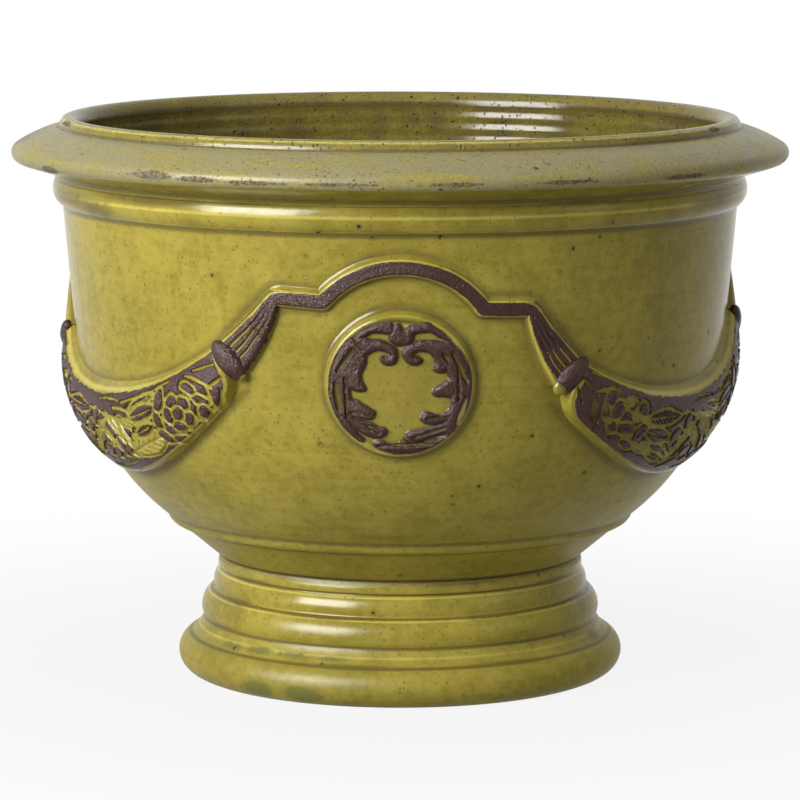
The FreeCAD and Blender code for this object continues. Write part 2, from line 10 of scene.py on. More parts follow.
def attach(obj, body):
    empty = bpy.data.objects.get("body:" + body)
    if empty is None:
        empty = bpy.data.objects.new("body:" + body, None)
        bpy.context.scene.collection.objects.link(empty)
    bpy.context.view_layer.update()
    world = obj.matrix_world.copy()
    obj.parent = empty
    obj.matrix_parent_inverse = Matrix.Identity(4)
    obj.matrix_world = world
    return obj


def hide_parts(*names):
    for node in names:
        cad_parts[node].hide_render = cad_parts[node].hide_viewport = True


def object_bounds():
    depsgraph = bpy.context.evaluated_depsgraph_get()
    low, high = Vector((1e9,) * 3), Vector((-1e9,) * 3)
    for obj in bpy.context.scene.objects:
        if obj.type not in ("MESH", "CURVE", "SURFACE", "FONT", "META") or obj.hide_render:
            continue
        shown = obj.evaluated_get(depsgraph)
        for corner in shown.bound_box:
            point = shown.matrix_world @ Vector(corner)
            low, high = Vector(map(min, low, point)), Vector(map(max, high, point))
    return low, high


bl_info = {
    "name": "Garland Urn Planter",
    "version": (1, 0, 0),
    "blender": (4, 5, 0),
    "location": "3D View > Sidebar > Urn",
    "description": "Builds a glazed garland urn, its pressed ornament and a studio stage",
    "category": "Object",
}

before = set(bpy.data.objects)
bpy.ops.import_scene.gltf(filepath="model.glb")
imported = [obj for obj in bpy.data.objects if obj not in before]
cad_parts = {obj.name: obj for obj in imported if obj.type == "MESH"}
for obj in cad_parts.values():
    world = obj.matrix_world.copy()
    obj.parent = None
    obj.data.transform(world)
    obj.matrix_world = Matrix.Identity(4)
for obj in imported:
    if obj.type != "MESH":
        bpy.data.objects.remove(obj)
cad_low, cad_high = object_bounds()

MM = 0.001
PANELS = 3
PANEL_TURN = 2 * math.pi / PANELS

# Thrown sections as closed lines of (radius, height, bulge of the run that ends there, finish),
# in millimetres. A bulge swells to the right of the run.
FOOT_LINE = (
    (143.6, 0.0, 0.0, "bare"),
    (167.6, 0.0, 0.0, "bare"),
    (169.5, 30.5, 10.5, "glaze"),
    (158.6, 44.1, -1.3, "glaze"),
    (152.4, 66.6, 4.4, "glaze"),
    (150.2, 67.4, 0.0, "glaze"),
    (145.4, 84.0, 2.4, "glaze"),
    (147.0, 85.4, 0.0, "glaze"),
    (144.8, 95.0, 0.7, "glaze"),
    (122.0, 95.0, 0.0, "bare"),
)
BOWL_LINE = (
    (17.5, 95.0, 0.0, "bare"),
    (146.0, 95.0, 0.0, "bare"),
    (178.4, 122.3, 0.0, "glaze"),
    (187.6, 130.0, 2.6, "glaze"),
    (259.03, 260.0, 15.58, "glaze"),
    (269.5, 378.0, 0.0, "glaze"),
    (277.2, 391.0, 2.2, "glaze"),
    (273.0, 403.0, 1.2, "glaze"),
    (253.65, 403.0, 0.0, "inside"),
    (241.62, 267.42, 0.0, "inside"),
    (77.26, 117.0, -43.28, "inside"),
    (17.5, 117.0, 0.0, "inside"),
)
RIM_LINE = (
    (253.65, 403.0, 0.0, "inside"),
    (272.0, 403.0, 0.0, "glaze"),
    (275.6, 399.0, 0.0, "glaze"),
    (279.5, 405.1, -1.7, "glaze"),
    (306.3, 413.7, 0.0, "glaze"),
    (306.3, 426.3, 3.7, "dry"),
    (272.2, 440.2, 1.6, "dry"),
    (269.4, 446.6, 0.55, "lip"),
    (255.0, 440.2, 4.2, "lip"),
)
# Grooves where the glaze pools dark, and crests where it runs thin: radius, height, reach
GROOVES = (
    (169.5, 30.5, 2.0), (158.6, 44.1, 1.8), (152.4, 66.6, 1.8), (145.2, 84.6, 1.8), (146.0, 95.0, 3.5),
    (178.4, 122.3, 2.5), (188.6, 131.6, 3.0), (269.5, 377.6, 3.2), (276.4, 402.6, 2.6), (272.2, 440.2, 2.0),
    (254.0, 438.0, 3.0),
)
CRESTS = (
    (163.4, 38.0, 2.2), (155.0, 65.0, 1.6), (147.4, 82.0, 1.6), (187.0, 128.6, 2.2), (277.4, 391.6, 2.2),
    (271.5, 380.5, 1.6), (269.4, 446.6, 2.0), (146.0, 93.0, 1.2),
)

# Marks on the thrown sections: turn in degrees, height, half width and half height in millimetres
WORN_SPOTS = (
    (-37, 420, 26, 3.4), (-29, 419, 20, 2.6), (-20, 418, 26, 1.8), (-8, 418, 30, 1.5), (-60, 416, 16, 3),
    (8, 418, 26, 1.4), (24, 418, 30, 1.6), (44, 417, 24, 2), (96, 420, 30, 3), (150, 419, 34, 2.4),
    (205, 420, 30, 3), (262, 418, 36, 2.2), (64, 444, 12, 2), (-75, 445, 16, 2), (170, 445, 14, 2),
)
GREEN_RUNS = (
    (-53, 35, 20, 3.4), (-42, 36, 22, 3.6), (-30, 36, 22, 3.2), (-19, 36, 16, 2.6), (-39, 9, 18, 8),
    (-25, 9, 19, 8), (70, 35, 16, 5), (160, 30, 24, 6), (230, 12, 12, 6),
)
SMUDGES = (
    (-70, 389, 80, 8), (-44, 397, 90, 5), (-24, 400, 40, 3), (30, 400, 60, 3), (62, 390, 50, 6),
    (-82, 386, 40, 12), (-58, 385, 40, 9), (-88, 430, 50, 9), (-52, 85, 34, 3), (-34, 93, 40, 3),
    (-58, 67, 30, 3), (-26, 66, 44, 2), (-62, 45, 30, 3), (20, 93, 50, 3), (28, 66, 40, 2),
    (56, 85, 40, 3), (-12, 31, 50, 2), (30, 31, 44, 2), (110, 390, 70, 6), (170, 399, 60, 4),
    (235, 389, 66, 6), (110, 85, 60, 3), (150, 66, 50, 3), (200, 93, 60, 3), (240, 66, 50, 3),
    (170, 31, 50, 2),
)

# The bowl's outer face, repeated from its line above
WALL_TAPER = math.atan2(10.47, 118.0)
WALL_TOP = (269.5, 378.0)
BELLY = (259.03, 260.0)
BELLY_ROUND = 184.4
MEDALLION_Z = 265.6
PANEL_LEAN = math.radians(2.6)
WALL_R = 259.5              # wall radius at the medallion's height
SINK = 0.8                  # feather edges end this far under the wall's face
FEATHER = 3.4               # width of the feathered skirt of a laid band
MERGE = 1e-6                # vertices closer than this, in metres, are one
# A garland's upper and lower edge: turn in degrees and height at a tie, sag, power of its curve
GARLAND_EDGES = ((31.3, 21.5, 37.0, 2.3), (26.3, -13.6, 75.0, 1.9))
TIE_ENDS = ((26.3, -2.6), (31.3, 21.5))     # turn in degrees and height over the medallion

# The camera of the photograph
CAMERA_SPOT = (0, -3.3631, 0.6914)
CAMERA_TILT = math.radians(81.969)
SENSOR = 36.0

# Wreath outlines on the medallion, shares of its radius
WREATH = (
    # left limb along the rim, its scroll, hook and two lobes
    ((-0.66, 0.58), (-0.78, 0.44), (-0.86, 0.28), (-0.905, 0.12), (-0.915, -0.06), (-0.90, -0.22),
     (-0.855, -0.38), (-0.775, -0.52), (-0.66, -0.64), (-0.545, -0.73), (-0.49, -0.735), (-0.56, -0.66),
     (-0.63, -0.56), (-0.665, -0.46), (-0.66, -0.34), (-0.64, -0.22), (-0.665, -0.10), (-0.665, 0.02),
     (-0.655, 0.12), (-0.62, 0.26), (-0.58, 0.36), (-0.53, 0.46), (-0.52, 0.52), (-0.57, 0.57)),
    ((-0.66, 0.60), (-0.52, 0.645), (-0.40, 0.615), (-0.28, 0.60), (-0.16, 0.565), (-0.07, 0.49),
     (-0.045, 0.40), (-0.08, 0.31), (-0.15, 0.285), (-0.22, 0.32), (-0.235, 0.385), (-0.17, 0.375),
     (-0.125, 0.40), (-0.14, 0.44), (-0.20, 0.475), (-0.28, 0.49), (-0.38, 0.455), (-0.47, 0.39),
     (-0.54, 0.32), (-0.60, 0.46)),
    ((-0.64, 0.40), (-0.47, 0.41), (-0.455, 0.30), (-0.505, 0.18), (-0.515, 0.06), (-0.455, -0.05),
     (-0.53, -0.075), (-0.62, -0.04), (-0.69, 0.04), (-0.69, 0.24)),
    ((-0.69, -0.21), (-0.58, -0.215), (-0.48, -0.275), (-0.39, -0.325), (-0.335, -0.37), (-0.38, -0.44),
     (-0.47, -0.44), (-0.56, -0.415), (-0.67, -0.355)),
    ((-0.67, -0.375), (-0.60, -0.43), (-0.50, -0.47), (-0.40, -0.515), (-0.30, -0.565), (-0.215, -0.59),
     (-0.19, -0.64), (-0.24, -0.688), (-0.34, -0.70), (-0.44, -0.675), (-0.53, -0.615), (-0.60, -0.545),
     (-0.65, -0.47)),
    # right limb, scroll, hook and lobes
    ((0.66, 0.56), (0.79, 0.44), (0.88, 0.28), (0.925, 0.08), (0.935, -0.08), (0.915, -0.26),
     (0.865, -0.42), (0.785, -0.55), (0.70, -0.645), (0.62, -0.665), (0.585, -0.59), (0.605, -0.50),
     (0.655, -0.38), (0.68, -0.22), (0.69, -0.06), (0.665, 0.06), (0.62, 0.20), (0.585, 0.30),
     (0.55, 0.42), (0.58, 0.52)),
    ((0.275, 0.335), (0.22, 0.29), (0.13, 0.30), (0.065, 0.37), (0.04, 0.455), (0.075, 0.51),
     (0.15, 0.56), (0.27, 0.595), (0.40, 0.59), (0.55, 0.575), (0.67, 0.56), (0.66, 0.44),
     (0.63, 0.30), (0.59, 0.21), (0.52, 0.185), (0.455, 0.215), (0.465, 0.29), (0.455, 0.37),
     (0.405, 0.435), (0.33, 0.475), (0.24, 0.475), (0.165, 0.435), (0.17, 0.385), (0.23, 0.375)),
    ((0.72, 0.10), (0.60, 0.05), (0.52, -0.01), (0.435, -0.08), (0.47, -0.13), (0.56, -0.14),
     (0.72, -0.14)),
    ((0.68, -0.33), (0.60, -0.38), (0.52, -0.42), (0.40, -0.385), (0.33, -0.37), (0.295, -0.41),
     (0.28, -0.45), (0.36, -0.50), (0.46, -0.518), (0.56, -0.49), (0.66, -0.44)),
    ((0.62, -0.515), (0.50, -0.545), (0.40, -0.58), (0.28, -0.60), (0.18, -0.62), (0.11, -0.645),
     (0.10, -0.685), (0.16, -0.735), (0.26, -0.748), (0.38, -0.705), (0.50, -0.665), (0.62, -0.635)),
    # bud at the top with a leaf to each side, and the leaf at the foot
    ((-0.13, 0.63), (-0.07, 0.57), (0.03, 0.552), (0.12, 0.57), (0.165, 0.63), (0.16, 0.70), (0.13, 0.80),
     (0.075, 0.765), (0.035, 0.755), (-0.02, 0.835), (-0.075, 0.80), (-0.12, 0.70)),
    ((-0.10, 0.70), (-0.24, 0.72), (-0.36, 0.715), (-0.47, 0.66), (-0.56, 0.645), (-0.47, 0.73),
     (-0.36, 0.795), (-0.24, 0.83), (-0.135, 0.845), (-0.085, 0.79)),
    ((0.12, 0.69), (0.22, 0.72), (0.32, 0.735), (0.40, 0.73), (0.50, 0.67), (0.64, 0.60), (0.55, 0.71),
     (0.45, 0.785), (0.34, 0.845), (0.25, 0.82), (0.17, 0.81), (0.12, 0.77)),
    ((-0.345, -0.785), (-0.27, -0.755), (-0.18, -0.785), (-0.08, -0.80), (0.01, -0.785), (0.03, -0.735),
     (0.09, -0.755), (0.16, -0.785), (0.28, -0.785), (0.42, -0.755), (0.59, -0.72), (0.50, -0.785),
     (0.38, -0.838), (0.22, -0.885), (0.05, -0.905), (-0.10, -0.895), (-0.22, -0.865), (-0.32, -0.82)),
)
# Cuts in the wreath: two ends and a width, shares of the medallion's radius
WREATH_CUTS = (
    ((-0.845, 0.02), (-0.80, -0.34), 0.030), ((-0.61, 0.49), (-0.81, 0.20), 0.022),
    ((0.68, 0.44), (0.87, 0.05), 0.026), ((0.85, -0.18), (0.765, -0.50), 0.036),
    ((-0.60, 0.64), (-0.49, 0.49), 0.012), ((0.56, 0.42), (0.62, 0.34), 0.022),
    ((-0.64, -0.36), (-0.36, -0.405), 0.012), ((-0.62, -0.44), (-0.28, -0.62), 0.014),
    ((0.62, -0.42), (0.36, -0.44), 0.012), ((0.58, -0.57), (0.20, -0.68), 0.012),
    ((-0.30, -0.81), (0.44, -0.79), 0.012), ((-0.72, 0.10), (-0.70, -0.44), 0.010),
    ((0.76, 0.20), (0.77, -0.20), 0.010),
)

# Garland carving: kind, place along from -1 at one tie to 1 at the next, share of the width
# from the upper edge, turn in degrees, length, width and bend in millimetres
GARLAND_CARVING = (
    # the middle: stems, berries and lance leaves
    ("stem", 0.08, 0.79, 4, 44, 2.2, -2), ("stem", -0.16, 0.75, 22, 26, 2.0, 1),
    ("stem", 0.0, 0.27, -10, 34, 2.2, -2), ("stem", 0.23, 0.27, -14, 30, 2.2, 1),
    ("stem", -0.17, 0.30, 18, 28, 2.0, 2), ("stem", 0.55, 0.155, 6, 30, 1.0, 1),
    ("stem", 0.30, 0.165, 4, 24, 1.0, 0), ("stem", 0.08, 0.155, -3, 30, 1.1, 1),
    ("lobe", 0.145, 0.62, 100, 16, 10, 0), ("lobe", 0.075, 0.66, 60, 14, 9, 0),
    ("lobe", 0.225, 0.66, -60, 15, 9, 0), ("lobe", -0.03, 0.66, 20, 15, 9, 0),
    ("lobe", -0.20, 0.47, 40, 15, 9, 0), ("lobe", -0.10, 0.34, 60, 13, 9, 0),
    ("lobe", 0.17, 0.38, 40, 13, 8, 0), ("leaf", -0.235, 0.635, -32, 20, 8, 0),
    ("lance", 0.10, 0.43, -50, 30, 5.5, 2), ("lance", 0.19, 0.52, -60, 34, 5.5, 2),
    ("lance", 0.025, 0.52, -42, 32, 5.5, 1), ("lance", -0.07, 0.45, 36, 28, 5.5, -1),
    ("lance", -0.13, 0.60, 44, 30, 5.5, 1), ("lance", 0.275, 0.43, -22, 30, 5.5, 1),
    ("leaf", 0.31, 0.57, 70, 20, 8, 0),
    # the rosette's end: leaves, open leaf, rosette with its ring of lobes, calyx at the tie
    ("pale", 0.40, 0.69, 0, 52, 19, 1), ("pinnate", 0.40, 0.225, 8, 36, 7, 0),
    ("leaf", 0.41, 0.33, 2, 36, 11, -1), ("leaf", 0.395, 0.525, 3, 27, 8, 0),
    ("stem", 0.434, 0.43, 0, 30, 1.8, 1),
    ("lobe", 0.822, 0.60, -60, 15, 7, -1), ("lobe", 0.812, 0.80, 62, 12, 8, 0),
    ("lobe", 0.735, 0.90, 12, 15, 7, 0), ("lobe", 0.625, 0.86, -32, 17, 7, 0),
    ("lobe", 0.529, 0.50, 82, 17, 7, 0), ("lobe", 0.775, 0.36, -48, 14, 6, 0),
    ("lobe", 0.565, 0.29, 50, 17, 9, 0), ("lobe", 0.545, 0.72, -66, 14, 7, 0),
    ("rosette", 0.675, 0.565, 20, 28, 9.5, 0),
    ("stem", 0.838, 0.376, -51, 26, 2.6, 1.5), ("stem", 0.925, 0.556, 0, 13, 2.6, 0),
    ("stem", 0.860, 0.766, 62, 26, 2.6, -1.5), ("stem", 0.90, 0.86, 36, 20, 2.0, -1),
    ("stem", 0.89, 0.225, -15, 20, 1.4, 0),
    # the rose's end
    ("pinnate", -0.345, 0.305, 8, 44, 11, 0), ("leaf", -0.37, 0.486, 0, 32, 11, -1),
    ("stem", -0.385, 0.614, 5, 30, 2.0, 1), ("stem", -0.209, 0.673, -23, 20, 1.7, 0),
    ("pale", -0.45, 0.70, 4, 24, 5, 0), ("leaf", -0.31, 0.735, -4, 26, 5.5, 0),
    ("lobe", -0.622, 0.275, 85, 10.5, 6.5, 0), ("lobe", -0.542, 0.287, 70, 12.5, 9.5, 0),
    ("petal", -0.772, 0.334, 100, 15, 11, 0), ("petal", -0.65, 0.455, 10, 15, 9, 0),
    ("petal", -0.718, 0.416, 80, 16, 10, 0), ("petal", -0.635, 0.614, 15, 20, 8.5, 2),
    ("petal", -0.712, 0.655, -20, 10, 8, 0), ("petal", -0.522, 0.556, 65, 18, 10, 1),
    ("pale", -0.655, 0.245, 28, 12, 4.5, 0), ("pale", -0.571, 0.385, 4, 12, 4, 0),
    ("lobe", -0.58, 0.745, 5, 13, 6, 0), ("lobe", -0.78, 0.53, -50, 10, 6, 0),
    ("stem", -0.89, 0.10, 9, 14, 1.4, 0), ("stem", -0.93, 0.343, -17, 12, 1.5, 0),
    ("stem", -0.82, 0.265, 31, 20, 2.4, 1), ("stem", -0.856, 0.544, -67, 21, 2.2, -1),
    ("stem", -0.949, 0.584, -37, 11, 1.1, 0), ("stem", -0.805, 0.463, -72, 12, 1.6, 0),
    ("stem", -0.74, 0.69, -38, 18, 2.0, -1), ("stem", -0.81, 0.74, -60, 12, 1.3, 0),
)


def from_screen(red, green, blue):
    """Linear colour of a screen colour given in 0 to 255."""
    shares = [value / 255 for value in (red, green, blue)]
    return tuple(s / 12.92 if s <= 0.04045 else ((s + 0.055) / 1.055) ** 2.4 for s in shares) + (1.0,)


def colour(name, description, *screen):
    return bpy.props.FloatVectorProperty(
        name=name, description=description, subtype="COLOR", size=4, min=0, max=1,
        default=from_screen(*screen))


def power(name, description, watts):
    return bpy.props.FloatProperty(
        name=name, description=description, subtype="POWER", default=watts, min=0)


def length(name, description, millimetres):
    return bpy.props.FloatProperty(
        name=name, description=description, unit="LENGTH", default=millimetres * MM, min=0)


class UrnSizes(bpy.types.PropertyGroup):
    turn_steps: bpy.props.IntProperty(
        name="Turn steps", description="Steps of the thrown sections round the axis", default=400, min=48)
    unevenness: length("Unevenness", "How far the thrown sections are out of round", 1.2)
    medallion_radius: length("Medallion radius", "Outer radius of the medallion's raised edge", 56.0)
    medallion_ground: length("Medallion ground", "Thickness of the medallion's flat ground", 3.5)
    medallion_edge: length("Medallion edge", "Height of the medallion's raised edge", 6.5)
    wreath_height: length("Wreath height", "Relief of the wreath over the ground", 3.2)
    ribbon_width: length("Ribbon width", "Width of the ribbon with its bevels", 14.0)
    ribbon_height: length("Ribbon height", "Height of the ribbon over the wall", 5.0)
    drape_height: length("Drape height", "Height of a drape at its tie", 8.5)
    tie_radius: length("Tie radius", "Radius of the rolled tie", 6.8)
    garland_height: length("Garland height", "Height of the garland's body over the wall", 13.0)
    garland_relief: length("Garland relief", "Depth of the garland's carving", 2.7)
    carving_gap: length("Carving gap", "Groove between neighbouring leaves", 1.8)


class UrnColours(bpy.types.PropertyGroup):
    yellow: colour("Yellow glaze", "Main colour of the glaze", 174, 159, 68)
    olive: colour("Olive glaze", "Glaze where it lies thick", 142, 129, 48)
    gold: colour("Thin glaze", "Glaze that has run thin over a crest", 200, 186, 92)
    # Flange colour: starved, rougher glaze, paled by a painted reflection of the white surround.
    dry: colour("Dry glaze", "Starved glaze on the flange", 155, 147, 105)
    inner: colour("Inside glaze", "Glaze inside the bowl", 108, 96, 50)
    # Stain colour: real pooled glaze and smudges, and also painted shade in the creases along and under the
    # ornament.
    stain: colour("Stain", "Dark pooled glaze in grooves", 88, 78, 44)
    speck: colour("Iron specks", "Specks and pits in the glaze", 52, 42, 24)
    green: colour("Green run", "Copper green in glaze runs", 112, 116, 56)
    clay: colour("Bare clay", "Unglazed clay and worn edges", 118, 102, 80)
    slip: colour("Brown slip", "Iron slip on the relief", 69, 44, 37)
    # Grey mixed into the slip: a painted sheen standing in for the glints on its glossy face.
    bloom: colour("Slip bloom", "Grey bloom on the slip", 102, 82, 78)


class UrnStudio(bpy.types.PropertyGroup):
    key_power: power("Key power", "Softbox at the left front", 62)
    sheen_power: power("Sheen power", "Softbox seen only in reflections", 330)
    fill_power: power("Fill power", "Softbox at the right", 8)
    back_power: power("Back power", "Softbox behind the urn", 13)
    top_power: power("Top power", "Wide soft light overhead", 11)
    ambience: bpy.props.FloatProperty(
        name="Ambience", description="Even light from all round", default=0.06, min=0, max=1)
    focal_length: bpy.props.FloatProperty(
        name="Focal length", description="Lens of the camera in millimetres", default=189.63, min=10)


class Term:
    """A socket in a sum: each Python operator on it adds the Math node that it stands for."""

    def __init__(self, finish, socket):
        self.finish = finish
        self.socket = socket

    def worked(self, operation, first, second):
        return self.finish.add("ShaderNodeMath", {"operation": operation}, {0: first, 1: second})

    def __add__(self, other):
        return self.worked("ADD", self, other)

    __radd__ = __add__

    def __sub__(self, other):
        return self.worked("SUBTRACT", self, other)

    def __rsub__(self, other):
        return self.worked("SUBTRACT", other, self)

    def __mul__(self, other):
        return self.worked("MULTIPLY", self, other)

    __rmul__ = __mul__

    def highest(self, other):
        return self.worked("MAXIMUM", self, other)


class Finish:
    """A material's node tree, written as sums of terms."""

    def __init__(self, owner):
        self.owner = owner
        owner.use_nodes = True
        self.tree = owner.node_tree
        self.tree.nodes.clear()

    def add(self, kind, settings=None, sockets=None, out=0):
        """Adds a node: its settings first, then the values or links of its sockets."""
        node = self.tree.nodes.new(kind)
        for key, value in (settings or {}).items():
            setattr(node, key, value)
        for key, value in (sockets or {}).items():
            if isinstance(value, Term):
                self.tree.links.new(value.socket, node.inputs[key])
            else:
                node.inputs[key].default_value = value
        if isinstance(out, tuple):
            return [Term(self, node.outputs[each]) for each in out]
        return Term(self, node.outputs[out]) if node.outputs else None

    def place(self, stretch=None):
        spot = self.add("ShaderNodeTexCoord", out="Object")
        if stretch is None:
            return spot
        return self.add("ShaderNodeVectorMath", {"operation": "MULTIPLY"}, {0: spot, 1: stretch})

    def cloud(self, spot, scale, detail=2.0, roughness=0.5):
        return self.add("ShaderNodeTexNoise", None, {
            "Vector": spot, "Scale": scale, "Detail": detail, "Roughness": roughness})

    def dots(self, spot, scale, least, most, soft):
        """Scattered round dots with radii from least to most, in shares of the cell."""
        distance, tint = self.add("ShaderNodeTexVoronoi", None, {"Vector": spot, "Scale": scale}, out=(0, 1))
        chance = self.add("ShaderNodeSeparateColor", None, {0: tint})
        radius = least + chance * chance * chance * (most - least)
        return self.ease(radius - distance, -soft, soft)

    def ease(self, value, low, high):
        """Smooth step from 0 at low to 1 at high."""
        return self.add("ShaderNodeMapRange", {"interpolation_type": "SMOOTHSTEP"}, {
            "Value": value, "From Min": low, "From Max": high})

    def mask(self, name):
        return self.add("ShaderNodeAttribute", {"attribute_name": name}, out="Fac")

    def mix(self, factor, first, second):
        return self.add("ShaderNodeMix", {"data_type": "RGBA"}, {0: factor, 6: first, 7: second}, out=2)

    def surface(self, base, roughness, height, sockets):
        normal = self.add("ShaderNodeBump", None, {"Height": height, "Distance": 1.0, "Strength": 1.0})
        shader = self.add("ShaderNodeBsdfPrincipled", None, {
            "Base Color": base, "Roughness": roughness, "Normal": normal, **sockets})
        self.add("ShaderNodeOutputMaterial", None, {"Surface": shader})
        return self.owner


def glaze_finish(name, masks):
    """Speckled yellow glaze; the masks say which of the urn's own attributes it follows."""
    if name in bpy.data.materials:
        return bpy.data.materials[name]
    paint = bpy.context.scene.urn_colours
    tint = {key: tuple(getattr(paint, key)) for key in UrnColours.__annotations__}
    finish = Finish(bpy.data.materials.new(name))
    spot = finish.place()
    broad = finish.cloud(spot, 7.0, 2.0)
    patchy = finish.cloud(spot, 38.0, 4.0, 0.6)
    grain = finish.cloud(spot, 420.0, 3.0, 0.65)
    mottle = finish.cloud(spot, 130.0, 5.0, 0.7)
    rings = finish.cloud(finish.place((3.0, 3.0, 95.0)), 1.0, 3.0, 0.55)
    brushed = finish.cloud(finish.place((9.0, 9.0, 260.0)), 1.0, 3.0, 0.6)
    even = finish.ease(broad * 0.25 + patchy * 0.25 + brushed * 0.12 + mottle * 0.38, 0.39, 0.61)
    base = finish.mix(even, tint["olive"], tint["yellow"])
    rough = 0.11 + patchy * 0.10 + mottle * 0.06
    height = broad * 0.0012 + patchy * 0.00022 + grain * 0.000022 + rings * 0.00012
    freckle = finish.dots(spot, 330.0, 0.0, 0.36, 0.08)
    pit = finish.dots(spot, 100.0, -0.30, 0.17, 0.03)
    halo = finish.dots(spot, 100.0, -0.30, 0.34, 0.14)
    dirt = finish.ease(mottle * 0.8 + brushed * 0.2, 0.53, 0.72) * 0.24
    if "dry" in masks:
        dry = finish.mask("dry")
        inside = finish.mask("inside")
        starved = finish.ease(patchy * 0.5 + brushed * 0.5, 0.45, 0.66) * 0.7
        # Flange: starved glaze, paled by a painted reflection of the white surround.
        base = finish.mix(dry, base, finish.mix(starved, tint["dry"], tint["yellow"]))
        pooled = finish.ease(patchy, 0.38, 0.70) * 0.8
        base = finish.mix(inside, base, finish.mix(pooled, tint["inner"], tint["olive"]))
        dusting = finish.ease(grain + patchy * 0.35, 0.60, 0.80)
        dirt = dirt.highest(dusting * (dry * 0.26 + inside * 0.5)).highest(freckle * (inside + dry * 0.4))
        rough = rough + dry * 0.17 - inside * 0.03 + finish.mask("matt") * 0.24
        height = height + rings * inside * 0.0002
        pit = pit.highest(freckle * (inside * 0.85 + dry * 0.45))
    base = finish.mix(finish.ease(finish.mask("thin") + patchy * 0.5, 0.62, 1.25), base, tint["gold"])
    # Stain mask: pooled glaze and smudges, together with painted shade along and under the ornament.
    stain = finish.ease(finish.mask("stain") + mottle * 0.9 - 0.45, 0.2, 0.8)
    base = finish.mix(stain * 0.7, base, tint["stain"])
    if "green" in masks:
        copper = finish.ease(finish.mask("green") + mottle * 1.3, 0.95, 1.35) * 0.85
        base = finish.mix(copper, base, tint["green"])
    base = finish.mix(dirt.highest(freckle * 0.5).highest(halo * 0.34), base, tint["stain"])
    base = finish.mix(pit * 0.92, base, tint["speck"])
    height = height - pit * 0.0006
    if "worn" in masks:
        worn = finish.ease(finish.mask("worn") + patchy * 0.9 + grain * 0.5, 1.0, 1.28)
        bare = finish.mask("bare")
        base = finish.mix(bare, base, finish.mix(finish.ease(grain, 0.4, 0.7), tint["clay"], tint["stain"]))
        crumb = finish.mix(finish.ease(grain, 0.42, 0.6), tint["clay"], tint["speck"])
        base = finish.mix(worn * 0.8, base, crumb)
        rough = rough + bare.highest(worn * 0.8) * 0.42
    if "slip" in masks:
        slip = finish.ease(finish.mask("slip") + (patchy - 0.5) * 0.5 + (grain - 0.5) * 0.7, 0.40, 0.60)
        sheen_speckle = finish.ease(grain * 0.5 + patchy * 0.5, 0.44, 0.66)
        pebble = finish.cloud(spot, 850.0, 2.0, 0.6)
        # Painted sheen: grey speckle mixed into the brown slip.
        base = finish.mix(slip, base, finish.mix(sheen_speckle * 0.35, tint["slip"], tint["bloom"]))
        rough = rough - slip * 0.02
        height = height + slip * (grain * 0.0011 + pebble * 0.0006 + patchy * 0.0008)
    return finish.surface(base, rough, height, {"IOR": 1.2})


THROWN = ("dry", "worn", "green")
PRESSED = ("slip",)


def settled(co):
    """Unevenness of the thrown clay, the same for every piece, so that joints stay closed."""
    amount = bpy.context.scene.urn_sizes.unevenness
    turn = np.arctan2(co[:, 0], -co[:, 1])
    rise = np.clip(co[:, 2] / cad_high.z, 0, 1)
    inward = amount * rise * (0.5 + 0.5 * np.cos(2 * turn - 0.9)) + 0.4 * amount * rise * (
        0.5 + 0.5 * np.sin(3 * turn + 0.4))
    sag = amount * rise ** 2 * (0.5 + 0.5 * np.sin(turn + 0.7))
    shrink = 1 - inward / cad_high.x
    return np.stack([co[:, 0] * shrink, co[:, 1] * shrink, co[:, 2] - sag], 1)


def kept_mesh(name, bm):
    """Turns a working mesh into a kept one."""
    mesh = bpy.data.meshes.new(name)
    bm.to_mesh(mesh)
    bm.free()
    return mesh


def coordinates(mesh):
    co = np.empty(len(mesh.vertices) * 3, np.float32)
    mesh.vertices.foreach_get("co", co)
    return co.reshape(-1, 3).astype(float)


def place_vertices(mesh, co):
    mesh.vertices.foreach_set("co", co.astype(np.float32).ravel())
    mesh.update()


def paint_mask(mesh, name, values):
    layer = mesh.attributes.get(name) or mesh.attributes.new(name, "FLOAT", "POINT")
    layer.data.foreach_set("value", np.clip(values, 0, 1).astype(np.float32))


def tidy_mesh(mesh, merge=0.0):
    """Merges doubles, turns the faces outwards and smooths them."""
    bm = bmesh.new()
    bm.from_mesh(mesh)
    if merge:
        bmesh.ops.remove_doubles(bm, verts=bm.verts[:], dist=merge)
    bmesh.ops.recalc_face_normals(bm, faces=bm.faces[:])
    for face in bm.faces:
        face.smooth = True
    bm.to_mesh(mesh)
    bm.free()


def show(name, mesh, material, nodes):
    """Makes a finished mesh a piece that stands for CAD nodes."""
    piece = bpy.data.objects.new(name, mesh)
    bpy.context.scene.collection.objects.link(piece)
    mesh.materials.clear()
    mesh.materials.append(material)
    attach(piece, "root")
    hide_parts(*nodes)
    return piece


def arc_rise(share, chord, bulge):
    """Height of an arc over its chord."""
    if not bulge:
        return 0.0
    radius = (chord * chord / 4 + bulge * bulge) / (2 * abs(bulge))
    reach = (share - 0.5) * chord
    return math.copysign(math.sqrt(radius * radius - reach * reach) - radius + abs(bulge), bulge)


def near_marks(radius, height, marks):
    """How near a point of a profile lies to the closest of some marks, from 0 to 1."""
    best = 0.0
    for mark_r, mark_z, reach in marks:
        best = max(best, math.exp(-((radius - mark_r) ** 2 + (height - mark_z) ** 2) / reach ** 2))
    return best


